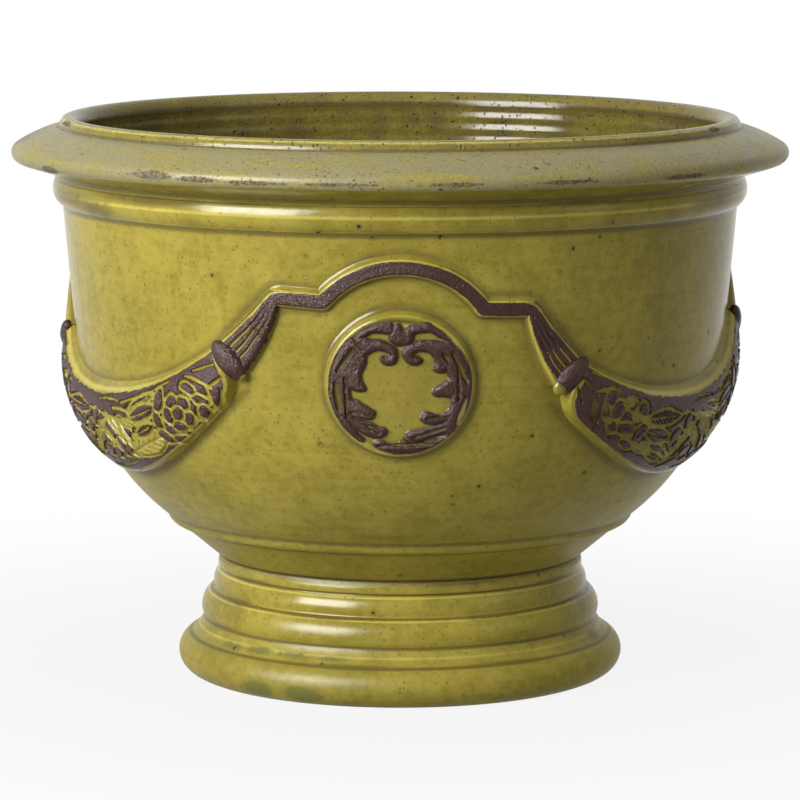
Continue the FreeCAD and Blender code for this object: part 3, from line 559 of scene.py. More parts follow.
def thrown_mesh(name, line, spacing):
    """Turns a closed profile on the axis, with its finishes kept as attributes."""
    bm = bmesh.new()
    layers = {key: bm.verts.layers.float.new(key) for key in ("stain", "thin", "dry", "inside", "bare")}
    for r, z, _, _ in line:
        bm.verts.new((r * MM, 0, z * MM))
    bm.verts.ensure_lookup_table()
    for i in range(len(line)):
        bm.edges.new((bm.verts[i - 1], bm.verts[i]))
    for i, (r, z, bulge, kind) in enumerate(line):
        bm.verts.ensure_lookup_table()
        start, end = bm.verts[(i - 1) % len(line)], bm.verts[i]
        run = end.co - start.co
        chord = run.length
        side = Vector((run.z, 0, -run.x)) / chord
        origin = start.co.copy()
        step = spacing if kind != "bare" else 6 * spacing
        cuts = max(1, round(chord / MM / step))
        made = bmesh.ops.subdivide_edges(bm, edges=[bm.edges.get((start, end))], cuts=cuts)["geom_inner"]
        bm.verts.ensure_lookup_table()
        end = bm.verts[i]
        between = [v for v in made if isinstance(v, bmesh.types.BMVert)]
        for v in between:
            share = (v.co - origin).length / chord
            v.co += side * arc_rise(share, chord, bulge * MM)
            if kind == "inside":
                ripple = math.sin(v.co.z / MM / 1.9 + 1.6 * math.sin(v.co.z / MM / 17))
                v.co.x += 0.22 * MM * ripple
        for v in between + [end]:
            v[layers["dry"]] = {"dry": 1.0, "lip": 0.35}.get(kind, 0.0)
            v[layers["inside"]] = {"inside": 1.0, "lip": 0.55}.get(kind, 0.0)
            v[layers["bare"]] = 1.0 if kind == "bare" else 0.0
            v[layers["stain"]] = near_marks(v.co.x / MM, v.co.z / MM, GROOVES)
            v[layers["thin"]] = near_marks(v.co.x / MM, v.co.z / MM, CRESTS)
    steps = bpy.context.scene.urn_sizes.turn_steps
    bmesh.ops.spin(bm, geom=bm.verts[:] + bm.edges[:], cent=(0, 0, 0), axis=(0, 0, 1),
                   angle=2 * math.pi, steps=steps, use_merge=True)
    mesh = kept_mesh(name, bm)
    tidy_mesh(mesh, MERGE)
    return mesh


def spots_on(co, spots):
    """Mask of soft spots, from a table of marks."""
    turn = np.degrees(np.arctan2(co[:, 0], -co[:, 1]))
    radius = np.hypot(co[:, 0], co[:, 1])
    found = np.zeros(len(co))
    for deg, height, half_w, half_h in spots:
        off = (turn - deg + 180) % 360 - 180
        run = np.radians(off) * radius / MM / half_w
        rise = (co[:, 2] / MM - height) / half_h
        found = np.maximum(found, np.exp(-run ** 2 - rise ** 2))
    return found


def wall_at(height):
    """Radius of the bowl's outer face at a height, and its outward direction there."""
    out = np.array([math.cos(WALL_TAPER), -math.sin(WALL_TAPER)])
    centre = np.array(BELLY) - out * BELLY_ROUND
    straight = height >= BELLY[1]
    drop = np.where(straight, 0.0, height - centre[1])
    reach = np.sqrt(BELLY_ROUND ** 2 - drop ** 2)
    tapered = WALL_TOP[0] - (WALL_TOP[1] - height) * math.tan(WALL_TAPER)
    radius = np.where(straight, tapered, centre[0] + reach)
    out_r = np.where(straight, out[0], reach / BELLY_ROUND)
    out_z = np.where(straight, out[1], drop / BELLY_ROUND)
    return radius, out_r, out_z


def on_wall(turn, rise, lift=0.0):
    """Points over the bowl's face in millimetres: turn in radians, height over the medallion, lift."""
    height = MEDALLION_Z + rise
    radius, out_r, out_z = wall_at(height)
    radius = radius + out_r * lift
    return np.stack([radius * np.sin(turn), -radius * np.cos(turn), height + out_z * lift], -1)


def ornament_line():
    """Points along the outer lines of one panel's ornament: turn and height over the medallion."""
    spots = [(58 / WALL_R * math.cos(a), 58 * math.sin(a)) for a in np.linspace(0, 2 * math.pi, 90)]
    for along in np.linspace(-1, 1, 140):
        spots += [garland_spot(along, share) for share in (-0.01, 1.02)]
    for share in np.linspace(-1, 1, 60):
        run = share * math.radians(21) * WALL_R
        arch = max(math.sqrt(max(73.6 ** 2 - run ** 2, 0)) + 15.4, 60)
        spots += [leaned(run / WALL_R, arch + aside) for aside in (-9, 9)]
    for side in (-1, 1):
        for far in np.linspace(0, 1, 24):
            spots.append(leaned(side * math.radians(22.4 + 8.6 * far), 67 - 42 * far))
            spots.append(leaned(side * math.radians(19.6 + 5.8 * far), 54 - 49 * far))
    return spots


def ornament_pool_and_shade(co):
    """How near points of the bowl lie to the ornament, from 0 to 1: pooled glaze and painted shade along its
    edges.
    """
    spots = ornament_line()
    tree = kdtree.KDTree(len(spots) * PANELS)
    for panel in range(PANELS):
        for i, (turn, rise) in enumerate(spots):
            point = on_wall(np.array(turn + panel * PANEL_TURN), np.array(float(rise))) * MM
            tree.insert(Vector(point), panel * len(spots) + i)
    tree.balance()
    return np.array([math.exp(-(tree.find(Vector(point))[2] / (5.5 * MM)) ** 2) for point in co])


def leaned(turn, rise):
    """Turns a place on a panel about its medallion by the panel's lean."""
    run = turn * WALL_R
    c, s = math.cos(PANEL_LEAN), math.sin(PANEL_LEAN)
    return (run * c + rise * s) / WALL_R, rise * c - run * s


def smooth(share):
    share = np.clip(share, 0, 1)
    return share * share * (3 - 2 * share)


def flat_grid(along, across):
    """Flat grid from 0 to 1 both ways."""
    bm = bmesh.new()
    bmesh.ops.create_grid(bm, x_segments=along, y_segments=across, size=0.5)
    bmesh.ops.translate(bm, verts=bm.verts[:], vec=(0.5, 0.5, 0))
    return bm


def strip_mesh(name, along, across):
    """Flat grid, closed behind by a bridge and two ends."""
    bm = flat_grid(along, across)
    rim = [e for e in bm.edges if e.is_boundary]
    for edge in rim:
        edge.smooth = False
    sides = [e for e in rim if abs(e.verts[0].co.y - e.verts[1].co.y) < 1e-5]
    bmesh.ops.bridge_loops(bm, edges=sides)
    bmesh.ops.holes_fill(bm, edges=[e for e in bm.edges if e.is_boundary], sides=0)
    return kept_mesh(name, bm)


def close_back(mesh):
    """Merges a disc's seam and pole and closes it behind."""
    bm = bmesh.new()
    bm.from_mesh(mesh)
    bmesh.ops.remove_doubles(bm, verts=bm.verts[:], dist=MERGE)
    rim = [e for e in bm.edges if e.is_boundary]
    for edge in rim:
        edge.smooth = False
    bmesh.ops.holes_fill(bm, edges=rim, sides=0)
    bm.to_mesh(mesh)
    bm.free()


def show_panels(name, mesh, nodes):
    """Shows the front panel's mesh and its copies on the other panels, each settled with the bowl."""
    copies = [mesh] + [mesh.copy() for _ in range(PANELS - 1)]
    for panel, copy in enumerate(copies):
        copy.transform(Matrix.Rotation(panel * PANEL_TURN, 4, "Z"))
        place_vertices(copy, settled(coordinates(copy)))
        tidy_mesh(copy)
    for number, copy in enumerate(copies, 1):
        show("%s_%d" % (name, number), copy, glaze_finish("slipped_glaze", PRESSED),
             ["%s_%d" % (node, number) for node in nodes])


def wander(points, *scales):
    """Slow random wander of some points, from pairs of a scale and an amount in millimetres."""
    found = np.zeros(len(points))
    for scale, amount in scales:
        found += amount * np.array([noise.noise(Vector(p) / scale) for p in points])
    return found


class Carving:
    """Height and slip of a carved face, from 0 in the grooves to 1 on top."""

    def __init__(self, points, gap):
        self.points = points
        self.gap = gap
        self.height = np.ones(len(points))
        self.slip = np.ones(len(points))
        self.ragged = wander(points, (6.0, 0.9), (2.2, 0.5))

    def press(self, distance, top=1.0, slip=1.0, gap=None):
        """Lays a form over what is there, with a groove round it; distance is negative inside."""
        gap = self.gap if gap is None else gap
        distance = distance + self.ragged
        inside = smooth(-distance)
        outside = smooth(distance - gap)
        self.height = self.height * outside + inside * top
        self.slip = self.slip * outside + inside * slip

    def score(self, distance, depth=1.0):
        """Cuts a groove; distance is negative inside it."""
        keep = smooth(distance + 0.6 * self.ragged)
        self.height = self.height * (1 - depth * (1 - keep))
        self.slip = self.slip * (1 - depth * (1 - keep))


def oval_distance(x, y, length, width):
    a, b = length / 2, width / 2
    near = np.hypot(x / a, y / b)
    slope = np.maximum(np.hypot(x / a ** 2, y / b ** 2), 1e-6)
    return np.where(near < 0.05, -min(a, b), near * (near - 1) / slope)


def leaf_distance(x, y, length, width):
    share = np.clip(2 * x / length, -1, 1)
    over = np.maximum(np.abs(x) - length / 2, 0)
    return np.hypot(np.maximum(np.abs(y) - width / 2 * (1 - share ** 2), 0), over) + np.minimum(
        np.abs(y) - width / 2 * (1 - share ** 2), 0) * 0.85


def rosette_distance(x, y, outer, eye):
    """An eye and five round petals about it."""
    out, turn = np.hypot(x, y), np.arctan2(y, x)
    off = (turn / (2 * math.pi / 5) + 0.5) % 1 - 0.5
    edge = out - outer * (1 - 0.9 * off ** 2)
    between = 0.9 - out * np.sin(np.abs(0.5 - np.abs(off)) * 2 * math.pi / 5)
    petals = np.maximum(np.maximum(edge, between), eye + 2.0 - out)
    return np.minimum(petals, out - eye)


def bar_distance(x, y, length, width):
    half = width / 2 * (1 - 0.45 * np.clip(2 * np.abs(x) / length, 0, 1))
    return np.hypot(np.maximum(np.abs(x) - length / 2, 0), y) - half


def outline_distance(x, y, corners):
    """Signed distance to a closed smooth outline through some corners."""
    corners = np.array(corners)
    share = np.linspace(0, 1, 7)[:-1, None]
    before, after, last = np.roll(corners, 1, 0), np.roll(corners, -1, 0), np.roll(corners, -2, 0)
    runs = [0.5 * (2 * b + (c - a) * share + (2 * a - 5 * b + 4 * c - d) * share ** 2
                   + (3 * b - a - 3 * c + d) * share ** 3)
            for a, b, c, d in zip(before, corners, after, last)]
    line = np.concatenate(runs)
    best = np.full(len(x), 1e9)
    inside = np.zeros(len(x), bool)
    for (px, py), (qx, qy) in zip(line, np.roll(line, -1, 0)):
        ex, ey = qx - px, qy - py
        share_on = np.clip(((x - px) * ex + (y - py) * ey) / max(ex * ex + ey * ey, 1e-12), 0, 1)
        best = np.minimum(best, np.hypot(x - px - ex * share_on, y - py - ey * share_on))
        crosses = (py > y) != (qy > y)
        if ey:
            inside ^= crosses & (x < px + (y - py) * ex / ey)
    return np.where(inside, -best, best)


class URN_OT_thrown(bpy.types.Operator):
    """Throw the foot, the bowl and the rim ring"""
    bl_idname = "urn.thrown"
    bl_label = "Thrown Sections"

    def execute(self, context):
        for name, node, line, spacing in (
            ("thrown_foot", "pedestal_foot", FOOT_LINE, 1.3),
            ("thrown_bowl", "bowl", BOWL_LINE, 3.8),
            ("thrown_rim", "rim_ring", RIM_LINE, 1.4),
        ):
            mesh = thrown_mesh(name, line, spacing)
            co = settled(coordinates(mesh))
            place_vertices(mesh, co)
            height = co[:, 2] / MM
            outside = np.hypot(co[:, 0], co[:, 1]) > 262 * MM
            edge_wear = 0.27 * np.exp(-((height - 416.5) / 2.2) ** 2)
            paint_mask(mesh, "worn", np.maximum(spots_on(co, WORN_SPOTS), edge_wear) * outside)
            paint_mask(mesh, "green", spots_on(co, GREEN_RUNS) * np.where(height < 22, 1.0, 0.75))
            paint_mask(mesh, "matt", np.where(height < 90, 1.3 - height / 64, 1.9 - height / 140))
            stain = np.empty(len(co), np.float32)
            mesh.attributes["stain"].data.foreach_get("value", stain)
            stain = np.maximum(stain, 0.8 * spots_on(co, SMUDGES))
            # Painted shade and pooled glaze in a soft band round the ornament on the bowl.
            if node == "bowl":
                stain = np.maximum(stain, 0.65 * ornament_pool_and_shade(co))
            paint_mask(mesh, "stain", stain)
            tidy_mesh(mesh)
            show(name, mesh, glaze_finish("speckled_glaze", THROWN), [node])
        return {"FINISHED"}


class URN_OT_medallions(bpy.types.Operator):
    """Press the round medallions with their wreaths"""
    bl_idname = "urn.medallions"
    bl_label = "Medallions"

    def execute(self, context):
        sizes = context.scene.urn_sizes
        radius = sizes.medallion_radius / MM
        skirt = radius + 4
        mesh = kept_mesh("pressed_medallion", flat_grid(120, 400))
        grid = coordinates(mesh)
        out = grid[:, 0] * skirt
        angle = grid[:, 1] * 2 * math.pi
        x, y = out * np.cos(angle), out * np.sin(angle)
        flat = np.stack([x, y, np.zeros(len(x))], 1)
        carving = Carving(flat, 0.0)
        carving.height[:] = 0
        carving.slip[:] = 0
        swell = np.zeros(len(x))
        near = np.full(len(x), -9.0)
        for outline in WREATH:
            distance = outline_distance(x / radius, y / radius, outline) * radius + 0.6 * carving.ragged - 1.4
            shoulder = np.sqrt(np.clip(-distance / 3.2, 0, 1))
            swell = np.maximum(swell, shoulder)
            near = np.maximum(near, -distance)
            carving.slip = np.maximum(carving.slip, smooth((-distance + 0.1) / 0.8))
        carving.height = swell
        for (px, py), (qx, qy), width in WREATH_CUTS:
            ends = np.array([px, py, qx, qy]) * radius
            run = ends[2:] - ends[:2]
            span = math.hypot(*run)
            dx, dy = x - (ends[0] + ends[2]) / 2, y - (ends[1] + ends[3]) / 2
            along, aside = (dx * run[0] + dy * run[1]) / span, (dy * run[0] - dx * run[1]) / span
            depth = 1.0 if width > 0.02 else 0.55
            carving.score(bar_distance(along, aside, span, 2 * width * radius), depth)
        ground, edge = sizes.medallion_ground / MM, sizes.medallion_edge / MM
        rim_line = np.interp(
            out, (0, radius - 10, radius - 8, radius - 5.5, radius - 4, radius - 2.4, radius - 0.6,
                  radius + 0.8, radius + 2.2, skirt),
            (ground, ground, ground + 0.4, edge - 0.9, edge - 0.3, edge - 1.0, 2.4, 0.9, 0.2, -SINK))
        uneven = wander(flat, (9.0, 0.22))
        lift = rim_line + uneven * (out < radius - 4)
        wreath = ground + carving.height * sizes.wreath_height / MM
        lift = np.maximum(lift, np.where(out < radius - 2, wreath, -SINK))
        height = y
        turn = np.arcsin(np.clip(x / WALL_R, -1, 1))
        place_vertices(mesh, on_wall(turn, height, lift) * MM)
        # Painted shade: the recess inside the raised edge, the grooves beside the wreath and the crease at
        # the foot, each with some pooled glaze.
        inner_edge_shade = np.exp(-((out - radius + 7.5) / 2.2) ** 2)
        deep = (1 - carving.slip) * smooth((near + 1.5) / 3)
        paint_mask(mesh, "slip", carving.slip * (out < radius - 3.0))
        foot_crease_shade = np.exp(-((out - radius - 1.5) / 2.0) ** 2)
        field = out < radius * 0.8
        paint_mask(mesh, "stain", 0.6 * inner_edge_shade + 0.9 * deep + 0.8 * foot_crease_shade + 0.4 * field)
        paint_mask(mesh, "thin", 0.6 * np.exp(-((out - radius + 3.0) / 1.6) ** 2))
        close_back(mesh)
        nodes = ("medallion", "medallion_scroll_left", "medallion_scroll_right", "medallion_palmette",
                 "medallion_base_leaf")
        show_panels("pressed_medallion", mesh, nodes)
        return {"FINISHED"}


def laid_height(inside, top):
    """Height of a laid band over the wall, by the distance inside its edge."""
    return top * np.interp(inside, (-FEATHER, -1.6, -0.3, 0.9, 2.2, 3.2), (-0.14, 0.04, 0.2, 0.72, 0.93, 1.0))


def corner_round(distance):
    """How far a rounded corner draws an edge in, by the distance from the corner."""
    return 2.6 * np.clip(1 - np.abs(distance) / 11, 0, 1) ** 2


class URN_OT_ribbons(bpy.types.Operator):
    """Lay the bevelled ribbons that arch over the medallions"""
    bl_idname = "urn.ribbons"
    bl_label = "Ribbons"

    def execute(self, context):
        sizes = context.scene.urn_sizes
        foot_x, foot_rise, arch_rise = math.radians(13.0) * WALL_R, 59.8, 89.0
        sag = arch_rise - foot_rise
        arch_r = (foot_x ** 2 + sag ** 2) / (2 * sag)
        half = math.asin(foot_x / arch_r)
        end_x, end_rise = math.radians(21.2) * WALL_R, 60.55
        bows = np.linspace(-half, half, 41)
        beyond = 16.0
        path = np.array([(-end_x - beyond, end_rise)]
                        + [(arch_r * math.sin(b), arch_rise - arch_r + arch_r * math.cos(b)) for b in bows]
                        + [(end_x + beyond, end_rise)])
        reach = np.concatenate([[0], np.cumsum(np.hypot(*np.diff(path, axis=0).T))])
        half_w = sizes.ribbon_width / MM / 2
        mesh = strip_mesh("laid_ribbon", 420, 48)
        grid = coordinates(mesh)
        aside = (0.5 - grid[:, 1]) * 2 * (half_w + FEATHER)
        mitre = beyond - aside * 0.436
        far = mitre + grid[:, 0] * (reach[-1] - 2 * mitre)
        middle, ahead, behind = (
            np.stack([np.interp(far + step, reach, line) for line in path.T], 1) for step in (0, 1.5, -1.5))
        run = (ahead - behind) / np.maximum(np.hypot(*(ahead - behind).T), 1e-6)[:, None]
        flat = middle + np.stack([-run[:, 1], run[:, 0]], 1) * aside[:, None]
        spread = wander(np.stack([flat[:, 0], flat[:, 1], 0 * far], 1), (14.0, 0.5), (3.0, 0.25))
        to_end = np.minimum(far - mitre, reach[-1] - mitre - far)
        off = np.abs(aside) + spread * 0.5 + corner_round(to_end) * (aside > 0)
        top = sizes.ribbon_height / MM
        lift = laid_height(half_w - off, top)
        turn, rise = leaned(flat[:, 0] / WALL_R, flat[:, 1])
        place_vertices(mesh, on_wall(turn, rise, lift) * MM)
        edge_at = np.where(aside > 0, half_w - 2.4, half_w - 1.6)
        paint_mask(mesh, "slip", smooth((edge_at - off + spread * 1.4 + 0.6) / 1.4))
        # Painted shade in the crease along the ribbon's foot, stronger under its lower edge, with some pooled
        # glaze.
        foot_crease_shade = np.exp(-((np.abs(aside) - half_w - 1.2) / 1.5) ** 2)
        paint_mask(mesh, "stain", foot_crease_shade * np.where(aside > 0, 0.5, 0.9))
        paint_mask(mesh, "thin", 0.8 * np.exp(-((np.abs(aside) - half_w + 1.6) / 1.0) ** 2))
        show_panels("laid_ribbon", mesh, ["ribbon"])
        return {"FINISHED"}


class URN_OT_drapes(bpy.types.Operator):
    """Lay the fluted drapes between the ribbons and the ties"""
    bl_idname = "urn.drapes"
    bl_label = "Drapes"

    def execute(self, context):
        sizes = context.scene.urn_sizes
        flutes = 4
        for side, hand in ((-1, "left"), (1, "right")):
            mesh = strip_mesh("gathered_drape", 130, 84)
            grid = coordinates(mesh)
            far = grid[:, 0] * 1.08 - 0.01
            bow = 0.7 * 4 * far * (1 - far)
            outer = np.stack([21.66 + 8.9 * far - bow, 67.55 - 44.2 * far], 1)
            inner = np.stack([20.31 + 5.0 * far - bow, 53.55 - 49 * far], 1)
            span = np.hypot(np.radians(outer[:, 0] - inner[:, 0]) * WALL_R, outer[:, 1] - inner[:, 1]) * 0.91
            share = grid[:, 1] * (1 + 2 * FEATHER / span) - FEATHER / span
            inside = np.minimum(share, 1 - share) * span - corner_round(far * 58) * (share < 0.5)
            spot = outer + (inner - outer) * share[:, None]
            points = np.stack([far * 60, share * 24, 0 * far], 1)
            drift = wander(points, (9.0, 0.035))
            folds = (share - 0.12 + drift) / 0.76
            phase = folds * flutes
            crease = np.abs(phase - np.round(phase)) / flutes * 24
            deep = smooth((far - 0.12) / 0.4)
            top = sizes.ribbon_height / MM + (sizes.drape_height - sizes.ribbon_height) / MM * far
            valley = np.exp(-(crease / 1.1) ** 2) * deep * (folds > 0.06) * (folds < 0.94)
            rounded = 1 - 0.9 * np.abs(np.sin(math.pi * phase)) ** 1.5
            lift = laid_height(inside, top) - (0.8 * valley + 0.25 * deep * rounded) * (inside > 1.5)
            turn, rise = leaned(side * np.radians(spot[:, 0]), spot[:, 1])
            place_vertices(mesh, on_wall(turn, rise, lift) * MM)
            ragged = wander(points, (6.0, 0.05), (2.0, 0.03))
            bare_edge = (2.4 + corner_round(far * 58)) / span
            # On the left drape the slip runs out to the inner edge, which lies in shade; the right drape
            # keeps a yellow bevel there: brown slip and painted shade.
            from_edge = np.minimum(share - bare_edge, (0.99 if side < 0 else 0.86) - share) + ragged
            gathered = far - (0.42 if side < 0 else 0.56)
            lines = np.exp(-(crease / 0.85) ** 4) * smooth((gathered + 3 * ragged) / 0.15)
            lines = lines * (folds > 0.1) * (folds < 0.9)
            paint_mask(mesh, "slip", smooth((from_edge + 0.02) / 0.05) * (1 - lines))
            # Painted shade in the crease where the drape's edges meet the wall, with some pooled glaze.
            paint_mask(mesh, "stain", np.exp(-((inside + 0.8) / 1.4) ** 2) * 0.8)
            paint_mask(mesh, "thin", 0.8 * np.exp(-((inside - 1.6) / 1.0) ** 2))
            show_panels("gathered_drape_" + hand, mesh, ["drape_" + hand])
        return {"FINISHED"}


class URN_OT_ties(bpy.types.Operator):
    """Roll the ties that gather the drapes"""
    bl_idname = "urn.ties"
    bl_label = "Ties"

    def execute(self, context):
        radius = context.scene.urn_sizes.tie_radius / MM
        for side, hand in ((-1, "left"), (1, "right")):
            bm = bmesh.new()
            bmesh.ops.create_uvsphere(bm, u_segments=72, v_segments=64, radius=1.0)
            mesh = kept_mesh("rolled_tie", bm)
            ball = coordinates(mesh)
            ends = [on_wall(*leaned(side * math.radians(deg), np.array(rise)), 6.8) for deg, rise in TIE_ENDS]
            axis = ends[1] - ends[0]
            half = np.linalg.norm(axis) / 2 + 0.6
            axis = axis / np.linalg.norm(axis)
            middle = (ends[0] + ends[1]) / 2
            out = np.array([middle[0], middle[1], 0]) / math.hypot(middle[0], middle[1])
            out = out - axis * (out @ axis)
            out = out / np.linalg.norm(out)
            cross = np.cross(axis, out)
            along = ball[:, 2]
            girth = np.sqrt(np.clip(1 - np.abs(along) ** 2.6, 0, 1))
            hand_round = np.hypot(ball[:, 0], ball[:, 1])
            ring_x = ball[:, 0] / np.maximum(hand_round, 1e-6)
            ring_y = ball[:, 1] / np.maximum(hand_round, 1e-6)
            bumps = wander(ball * 9, (5.0, 0.55), (2.4, 0.25))
            waist = 1 + 0.10 * np.cos(along * math.pi * 0.9) - 0.05 * np.exp(-((along + 0.72) / 0.10) ** 2)
            thick = (radius * waist + bumps * 0.6) * girth
            points = (middle + np.outer(along * half * 1.06, axis) + np.outer(ring_x * thick, out)
                      + np.outer(ring_y * thick * 1.28, cross))
            place_vertices(mesh, points * MM)
            # The left tie keeps less of its yellow end, which lies in shade: brown slip and painted shade.
            knob = smooth((along + (0.94 if side < 0 else 0.70) + 0.10 * bumps) / 0.12)
            paint_mask(mesh, "slip", knob)
            # Painted shade in the crease at the tie's neck and on its side towards the wall.
            neck_crease_shade = np.exp(-((along + 0.68) / 0.07) ** 2)
            paint_mask(mesh, "stain", 0.8 * neck_crease_shade + 0.7 * smooth(-ring_x / 0.5))
            paint_mask(mesh, "thin", 0.5 * (1 - knob))
            show_panels("rolled_tie_" + hand, mesh, ["tie_" + hand])
        return {"FINISHED"}


def garland_spot(along, share):
    """Turn and height on the wall for a place on the garland."""
    edges = []
    for deg, rise, sag, curve in GARLAND_EDGES:
        start_turn, start_rise = leaned(math.radians(deg), rise)
        end_turn, end_rise = leaned(-math.radians(deg), rise)
        part = (along + 1) / 2
        turn = start_turn + (end_turn + PANEL_TURN - start_turn) * part
        level = start_rise + (end_rise - start_rise) * part - sag * (1 - np.abs(along) ** curve)
        edges.append((turn, level))
    (high_turn, high), (low_turn, low) = edges
    return high_turn + (low_turn - high_turn) * share, high + (low - high) * share


def garland_frame(along, share):
    """A place on the garland with its run and its up direction."""
    step = 0.01
    moves = ((0, 0), (step, 0), (-step, 0), (0, -step), (0, step))
    spot, right, left, above, below = (
        on_wall(*(np.array(v) for v in garland_spot(along + on, share + down))) for on, down in moves)
    run = (right - left) / np.linalg.norm(right - left)
    up = (above - below) - run * ((above - below) @ run)
    return spot, run, up / np.linalg.norm(up)


class URN_OT_garlands(bpy.types.Operator):
    """Carve the garlands of flowers and leaves"""
    bl_idname = "urn.garlands"
    bl_label = "Garlands"

    def execute(self, context):
        sizes = context.scene.urn_sizes
        mesh = strip_mesh("carved_garland", 560, 124)
        grid = coordinates(mesh)
        along, share = grid[:, 0] * 2 - 1, grid[:, 1] * 1.10 - 0.05
        turn, rise = garland_spot(along, share)
        points = on_wall(turn, rise)
        carving = Carving(points, sizes.carving_gap / MM)
        for kind, at, part, deg, size, width, bend in GARLAND_CARVING:
            spot, run, up = garland_frame(at, part)
            offset = points - spot
            c, s = math.cos(math.radians(deg)), math.sin(math.radians(deg))
            flat_x, flat_y = offset @ run, offset @ up
            x, y = flat_x * c + flat_y * s, flat_y * c - flat_x * s
            y = y - bend * (1 - np.clip(2 * x / size, -1.3, 1.3) ** 2)
            if kind == "stem":
                carving.score(bar_distance(x, y, size, width))
            elif kind == "rosette":
                carving.press(rosette_distance(x, y, size / 2, width / 2), gap=2.2)
            elif kind in ("lobe", "petal"):
                carving.press(oval_distance(x, y, size, width))
                if kind == "petal":
                    carving.score(np.hypot(np.maximum(np.abs(x) - size * 0.2, 0), y) - 0.15, 0.35)
            else:
                top, slip = (0.6, 0.1) if kind in ("pale", "lance") else (1.0, 1.0)
                blade = leaf_distance(x, y, size, width)
                carving.press(blade, top=top, slip=slip)
                within = (blade > -0.2) * 9.0
                carving.score(bar_distance(x + size * 0.08, y, size * 0.8, 0.7) + within, 0.8)
                if kind in ("pale", "pinnate"):
                    slant = (x - np.abs(y) * 1.3) / (width * 0.42)
                    vein = np.abs(slant - np.round(slant)) * width * 0.42
                    carving.score(vein - 0.22 + within, 0.75)
        body = np.interp(share, (-0.05, 0.0, 0.03, 0.09, 0.2, 0.35, 0.5, 0.65, 0.8, 0.91, 0.97, 1.0, 1.05),
                         (-0.09, 0.03, 0.22, 0.62, 0.84, 0.96, 1.0, 0.97, 0.87, 0.62, 0.22, 0.03, -0.09))
        corner = np.hypot(np.clip(np.abs(along) - 0.86, 0, 1) / 0.14, np.clip(share - 0.55, 0, 1) / 0.45)
        ends = (1 - 0.24 * along ** 6) * (1 - 1.06 * smooth((corner - 0.86) / 0.2))
        brim = smooth((np.minimum(share - 0.055, 0.965 - share) * 70 + 1.2 * carving.ragged) / 2.5)
        depth = sizes.garland_relief / MM
        cut = depth * (1 - carving.height) * brim * (body > 0.2)
        lift = body * ends * (sizes.garland_height / MM + depth * 0.9) - cut
        lift = np.where(share < -0.02, np.minimum(lift, 0.3), lift) - 1.6 * smooth((corner - 0.92) / 0.12)
        place_vertices(mesh, on_wall(turn, rise, lift) * MM)
        edge = np.minimum(share - 0.085, 0.94 + 0.05 * np.sign(along) - share) * 70 + 1.3 * carving.ragged
        slip = smooth((carving.slip - 0.25) / 0.5) * smooth((edge + 0.6) / 1.6)
        paint_mask(mesh, "slip", slip * (1 - smooth((corner - 0.66) / 0.15)))
        # Painted shade in the carved grooves and the crease along the upper edge, and a painted shadow under
        # the lower edge, each with some pooled glaze.
        paint_mask(mesh, "stain", 0.2 * (1 - carving.height) * brim + np.exp(-((share - 1.02) / 0.03) ** 2)
                   + 0.6 * np.exp(-((share + 0.03) / 0.02) ** 2))
        paint_mask(mesh, "thin", np.exp(-((share - 0.06) / 0.03) ** 2)
                   + 0.6 * np.exp(-((share - 0.95) / 0.02) ** 2))
        nodes = ("garland", "garland_flowers", "garland_leaves", "garland_bands")
        show_panels("carved_garland", mesh, nodes)
        return {"FINISHED"}


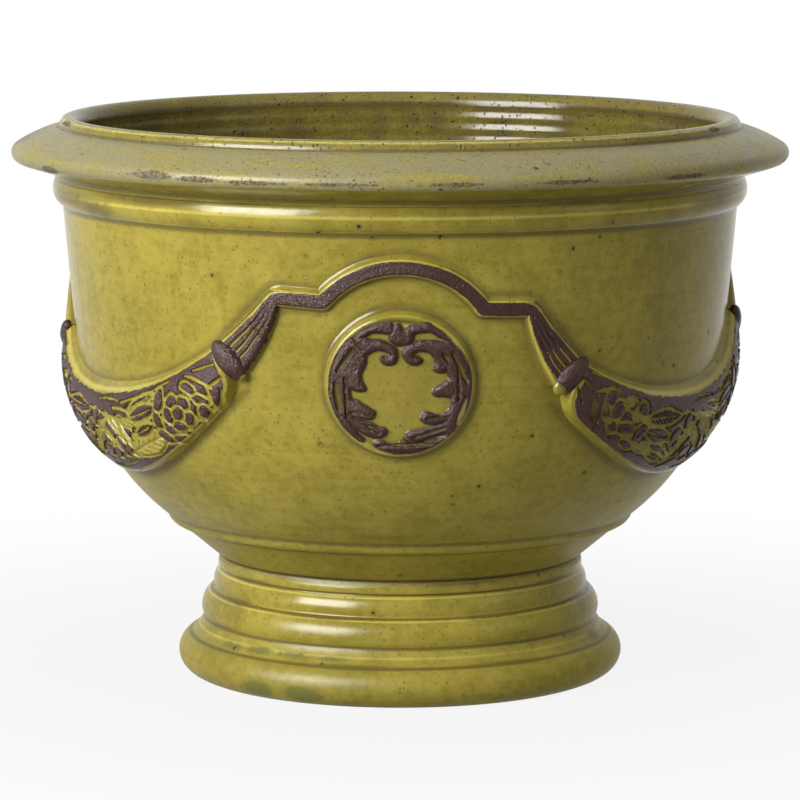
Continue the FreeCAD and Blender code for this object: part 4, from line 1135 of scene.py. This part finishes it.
class URN_OT_stage(bpy.types.Operator):
    """Set the floor, the studio lights, the white surround and the camera"""
    bl_idname = "urn.stage"
    bl_label = "Studio Stage"

    def execute(self, context):
        scene = context.scene
        studio = scene.urn_studio
        scene.view_settings.view_transform = "Standard"
        bm = bmesh.new()
        bmesh.ops.create_grid(bm, x_segments=8, y_segments=8, size=20)
        mesh = kept_mesh("studio_floor", bm)
        mesh.transform(Matrix.Translation((0, 0, -0.0004)))
        floor = bpy.data.objects.new("studio_floor", mesh)
        scene.collection.objects.link(floor)
        mesh.materials.append(self.floor_finish())
        self.surround(scene, studio.ambience)
        for name, watts, width, height, turn, tilt, distance, diffuse, glossy in (
            ("key_softbox", studio.key_power, 1.5, 1.2, -43, 23, 2.4, True, True),
            ("key_sheen", studio.sheen_power, 1.4, 1.25, -47, 18.5, 2.3, False, True),
            ("fill_softbox", studio.fill_power, 1.0, 1.0, 64, 24, 2.4, True, True),
            ("back_softbox", studio.back_power, 1.6, 1.2, 180, 14, 2.4, True, False),
            ("top_light", studio.top_power, 2.2, 2.2, 0, 86, 2.3, True, True),
        ):
            lamp = bpy.data.lights.new(name, "AREA")
            lamp.shape = "RECTANGLE"
            lamp.energy = watts
            lamp.size, lamp.size_y = width, height
            a, e = math.radians(turn), math.radians(tilt)
            away = Vector((math.sin(a) * math.cos(e), -math.cos(a) * math.cos(e), math.sin(e)))
            holder = bpy.data.objects.new(name, lamp)
            holder.location = Vector((0, 0, cad_high.z * 0.55)) + away * distance
            holder.rotation_euler = away.to_track_quat("Z", "Y").to_euler()
            holder.visible_diffuse = diffuse
            holder.visible_glossy = glossy
            scene.collection.objects.link(holder)
        camera = bpy.data.objects.new("camera", bpy.data.cameras.new("camera"))
        camera.data.lens = studio.focal_length
        camera.data.sensor_width = SENSOR
        camera.location = CAMERA_SPOT
        camera.rotation_euler = (CAMERA_TILT, 0, 0)
        scene.collection.objects.link(camera)
        scene.camera = camera
        return {"FINISHED"}

    def seen(self, finish):
        """1 for what the camera sees, straight or in a reflection."""
        camera, glossy, through = finish.add("ShaderNodeLightPath", out=(
            "Is Camera Ray", "Is Glossy Ray", "Is Transmission Ray"))
        return camera.highest(glossy).highest(through)

    def floor_finish(self):
        """Pale floor that is dark under the foot, keeps the urn's shadow and runs out to white."""
        finish = Finish(bpy.data.materials.new("pale_floor"))
        away = finish.add("ShaderNodeVectorMath", {"operation": "LENGTH"}, {0: finish.place()}, out="Value")
        white = (finish.ease(away, 0.2, 0.9) * 0.12 + 0.88) * finish.ease(away, 0.14, 0.16)
        lit = finish.add("ShaderNodeBsdfDiffuse", None, {"Color": (0.42, 0.42, 0.41, 1)})
        plain = finish.add("ShaderNodeEmission", None, {"Color": (1, 1, 1, 1), "Strength": 1.0})
        both = finish.add("ShaderNodeMixShader", None, {0: self.seen(finish) * white, 1: lit, 2: plain})
        finish.add("ShaderNodeOutputMaterial", None, {"Surface": both})
        return finish.owner

    def surround(self, scene, ambience):
        world = bpy.data.worlds.new("white_surround")
        scene.world = world
        finish = Finish(world)
        shown = self.seen(finish)
        light = finish.add("ShaderNodeBackground", None, {
            "Color": (1, 1, 1, 1), "Strength": shown * (1 - ambience) + ambience})
        finish.add("ShaderNodeOutputWorld", None, {"Surface": light})


class URN_PT_sidebar(bpy.types.Panel):
    """Sizes, colours and steps of the urn"""
    bl_idname = "URN_PT_sidebar"
    bl_label = "Garland Urn"
    bl_space_type = "VIEW_3D"
    bl_region_type = "UI"
    bl_category = "Urn"

    def draw(self, context):
        for operator in STEPS:
            self.layout.operator(operator.bl_idname)
        for group in (context.scene.urn_sizes, context.scene.urn_colours, context.scene.urn_studio):
            box = self.layout.box()
            for key in type(group).__annotations__:
                box.prop(group, key)


STEPS = (URN_OT_stage, URN_OT_thrown, URN_OT_medallions, URN_OT_ribbons, URN_OT_drapes, URN_OT_ties,
         URN_OT_garlands)
GROUPS = {"urn_sizes": UrnSizes, "urn_colours": UrnColours, "urn_studio": UrnStudio}


def register():
    for cls in (*GROUPS.values(), *STEPS, URN_PT_sidebar):
        bpy.utils.register_class(cls)
    for key, group in GROUPS.items():
        setattr(bpy.types.Scene, key, bpy.props.PointerProperty(type=group))


def unregister():
    for key in GROUPS:
        delattr(bpy.types.Scene, key)
    for cls in (URN_PT_sidebar, *reversed(STEPS), *reversed(tuple(GROUPS.values()))):
        bpy.utils.unregister_class(cls)


def main():
    register()
    bpy.ops.urn.stage()
    bpy.ops.urn.thrown()
    bpy.ops.urn.medallions()
    bpy.ops.urn.ribbons()
    bpy.ops.urn.drapes()
    bpy.ops.urn.ties()
    bpy.ops.urn.garlands()


if __name__ == "__main__":
    main()
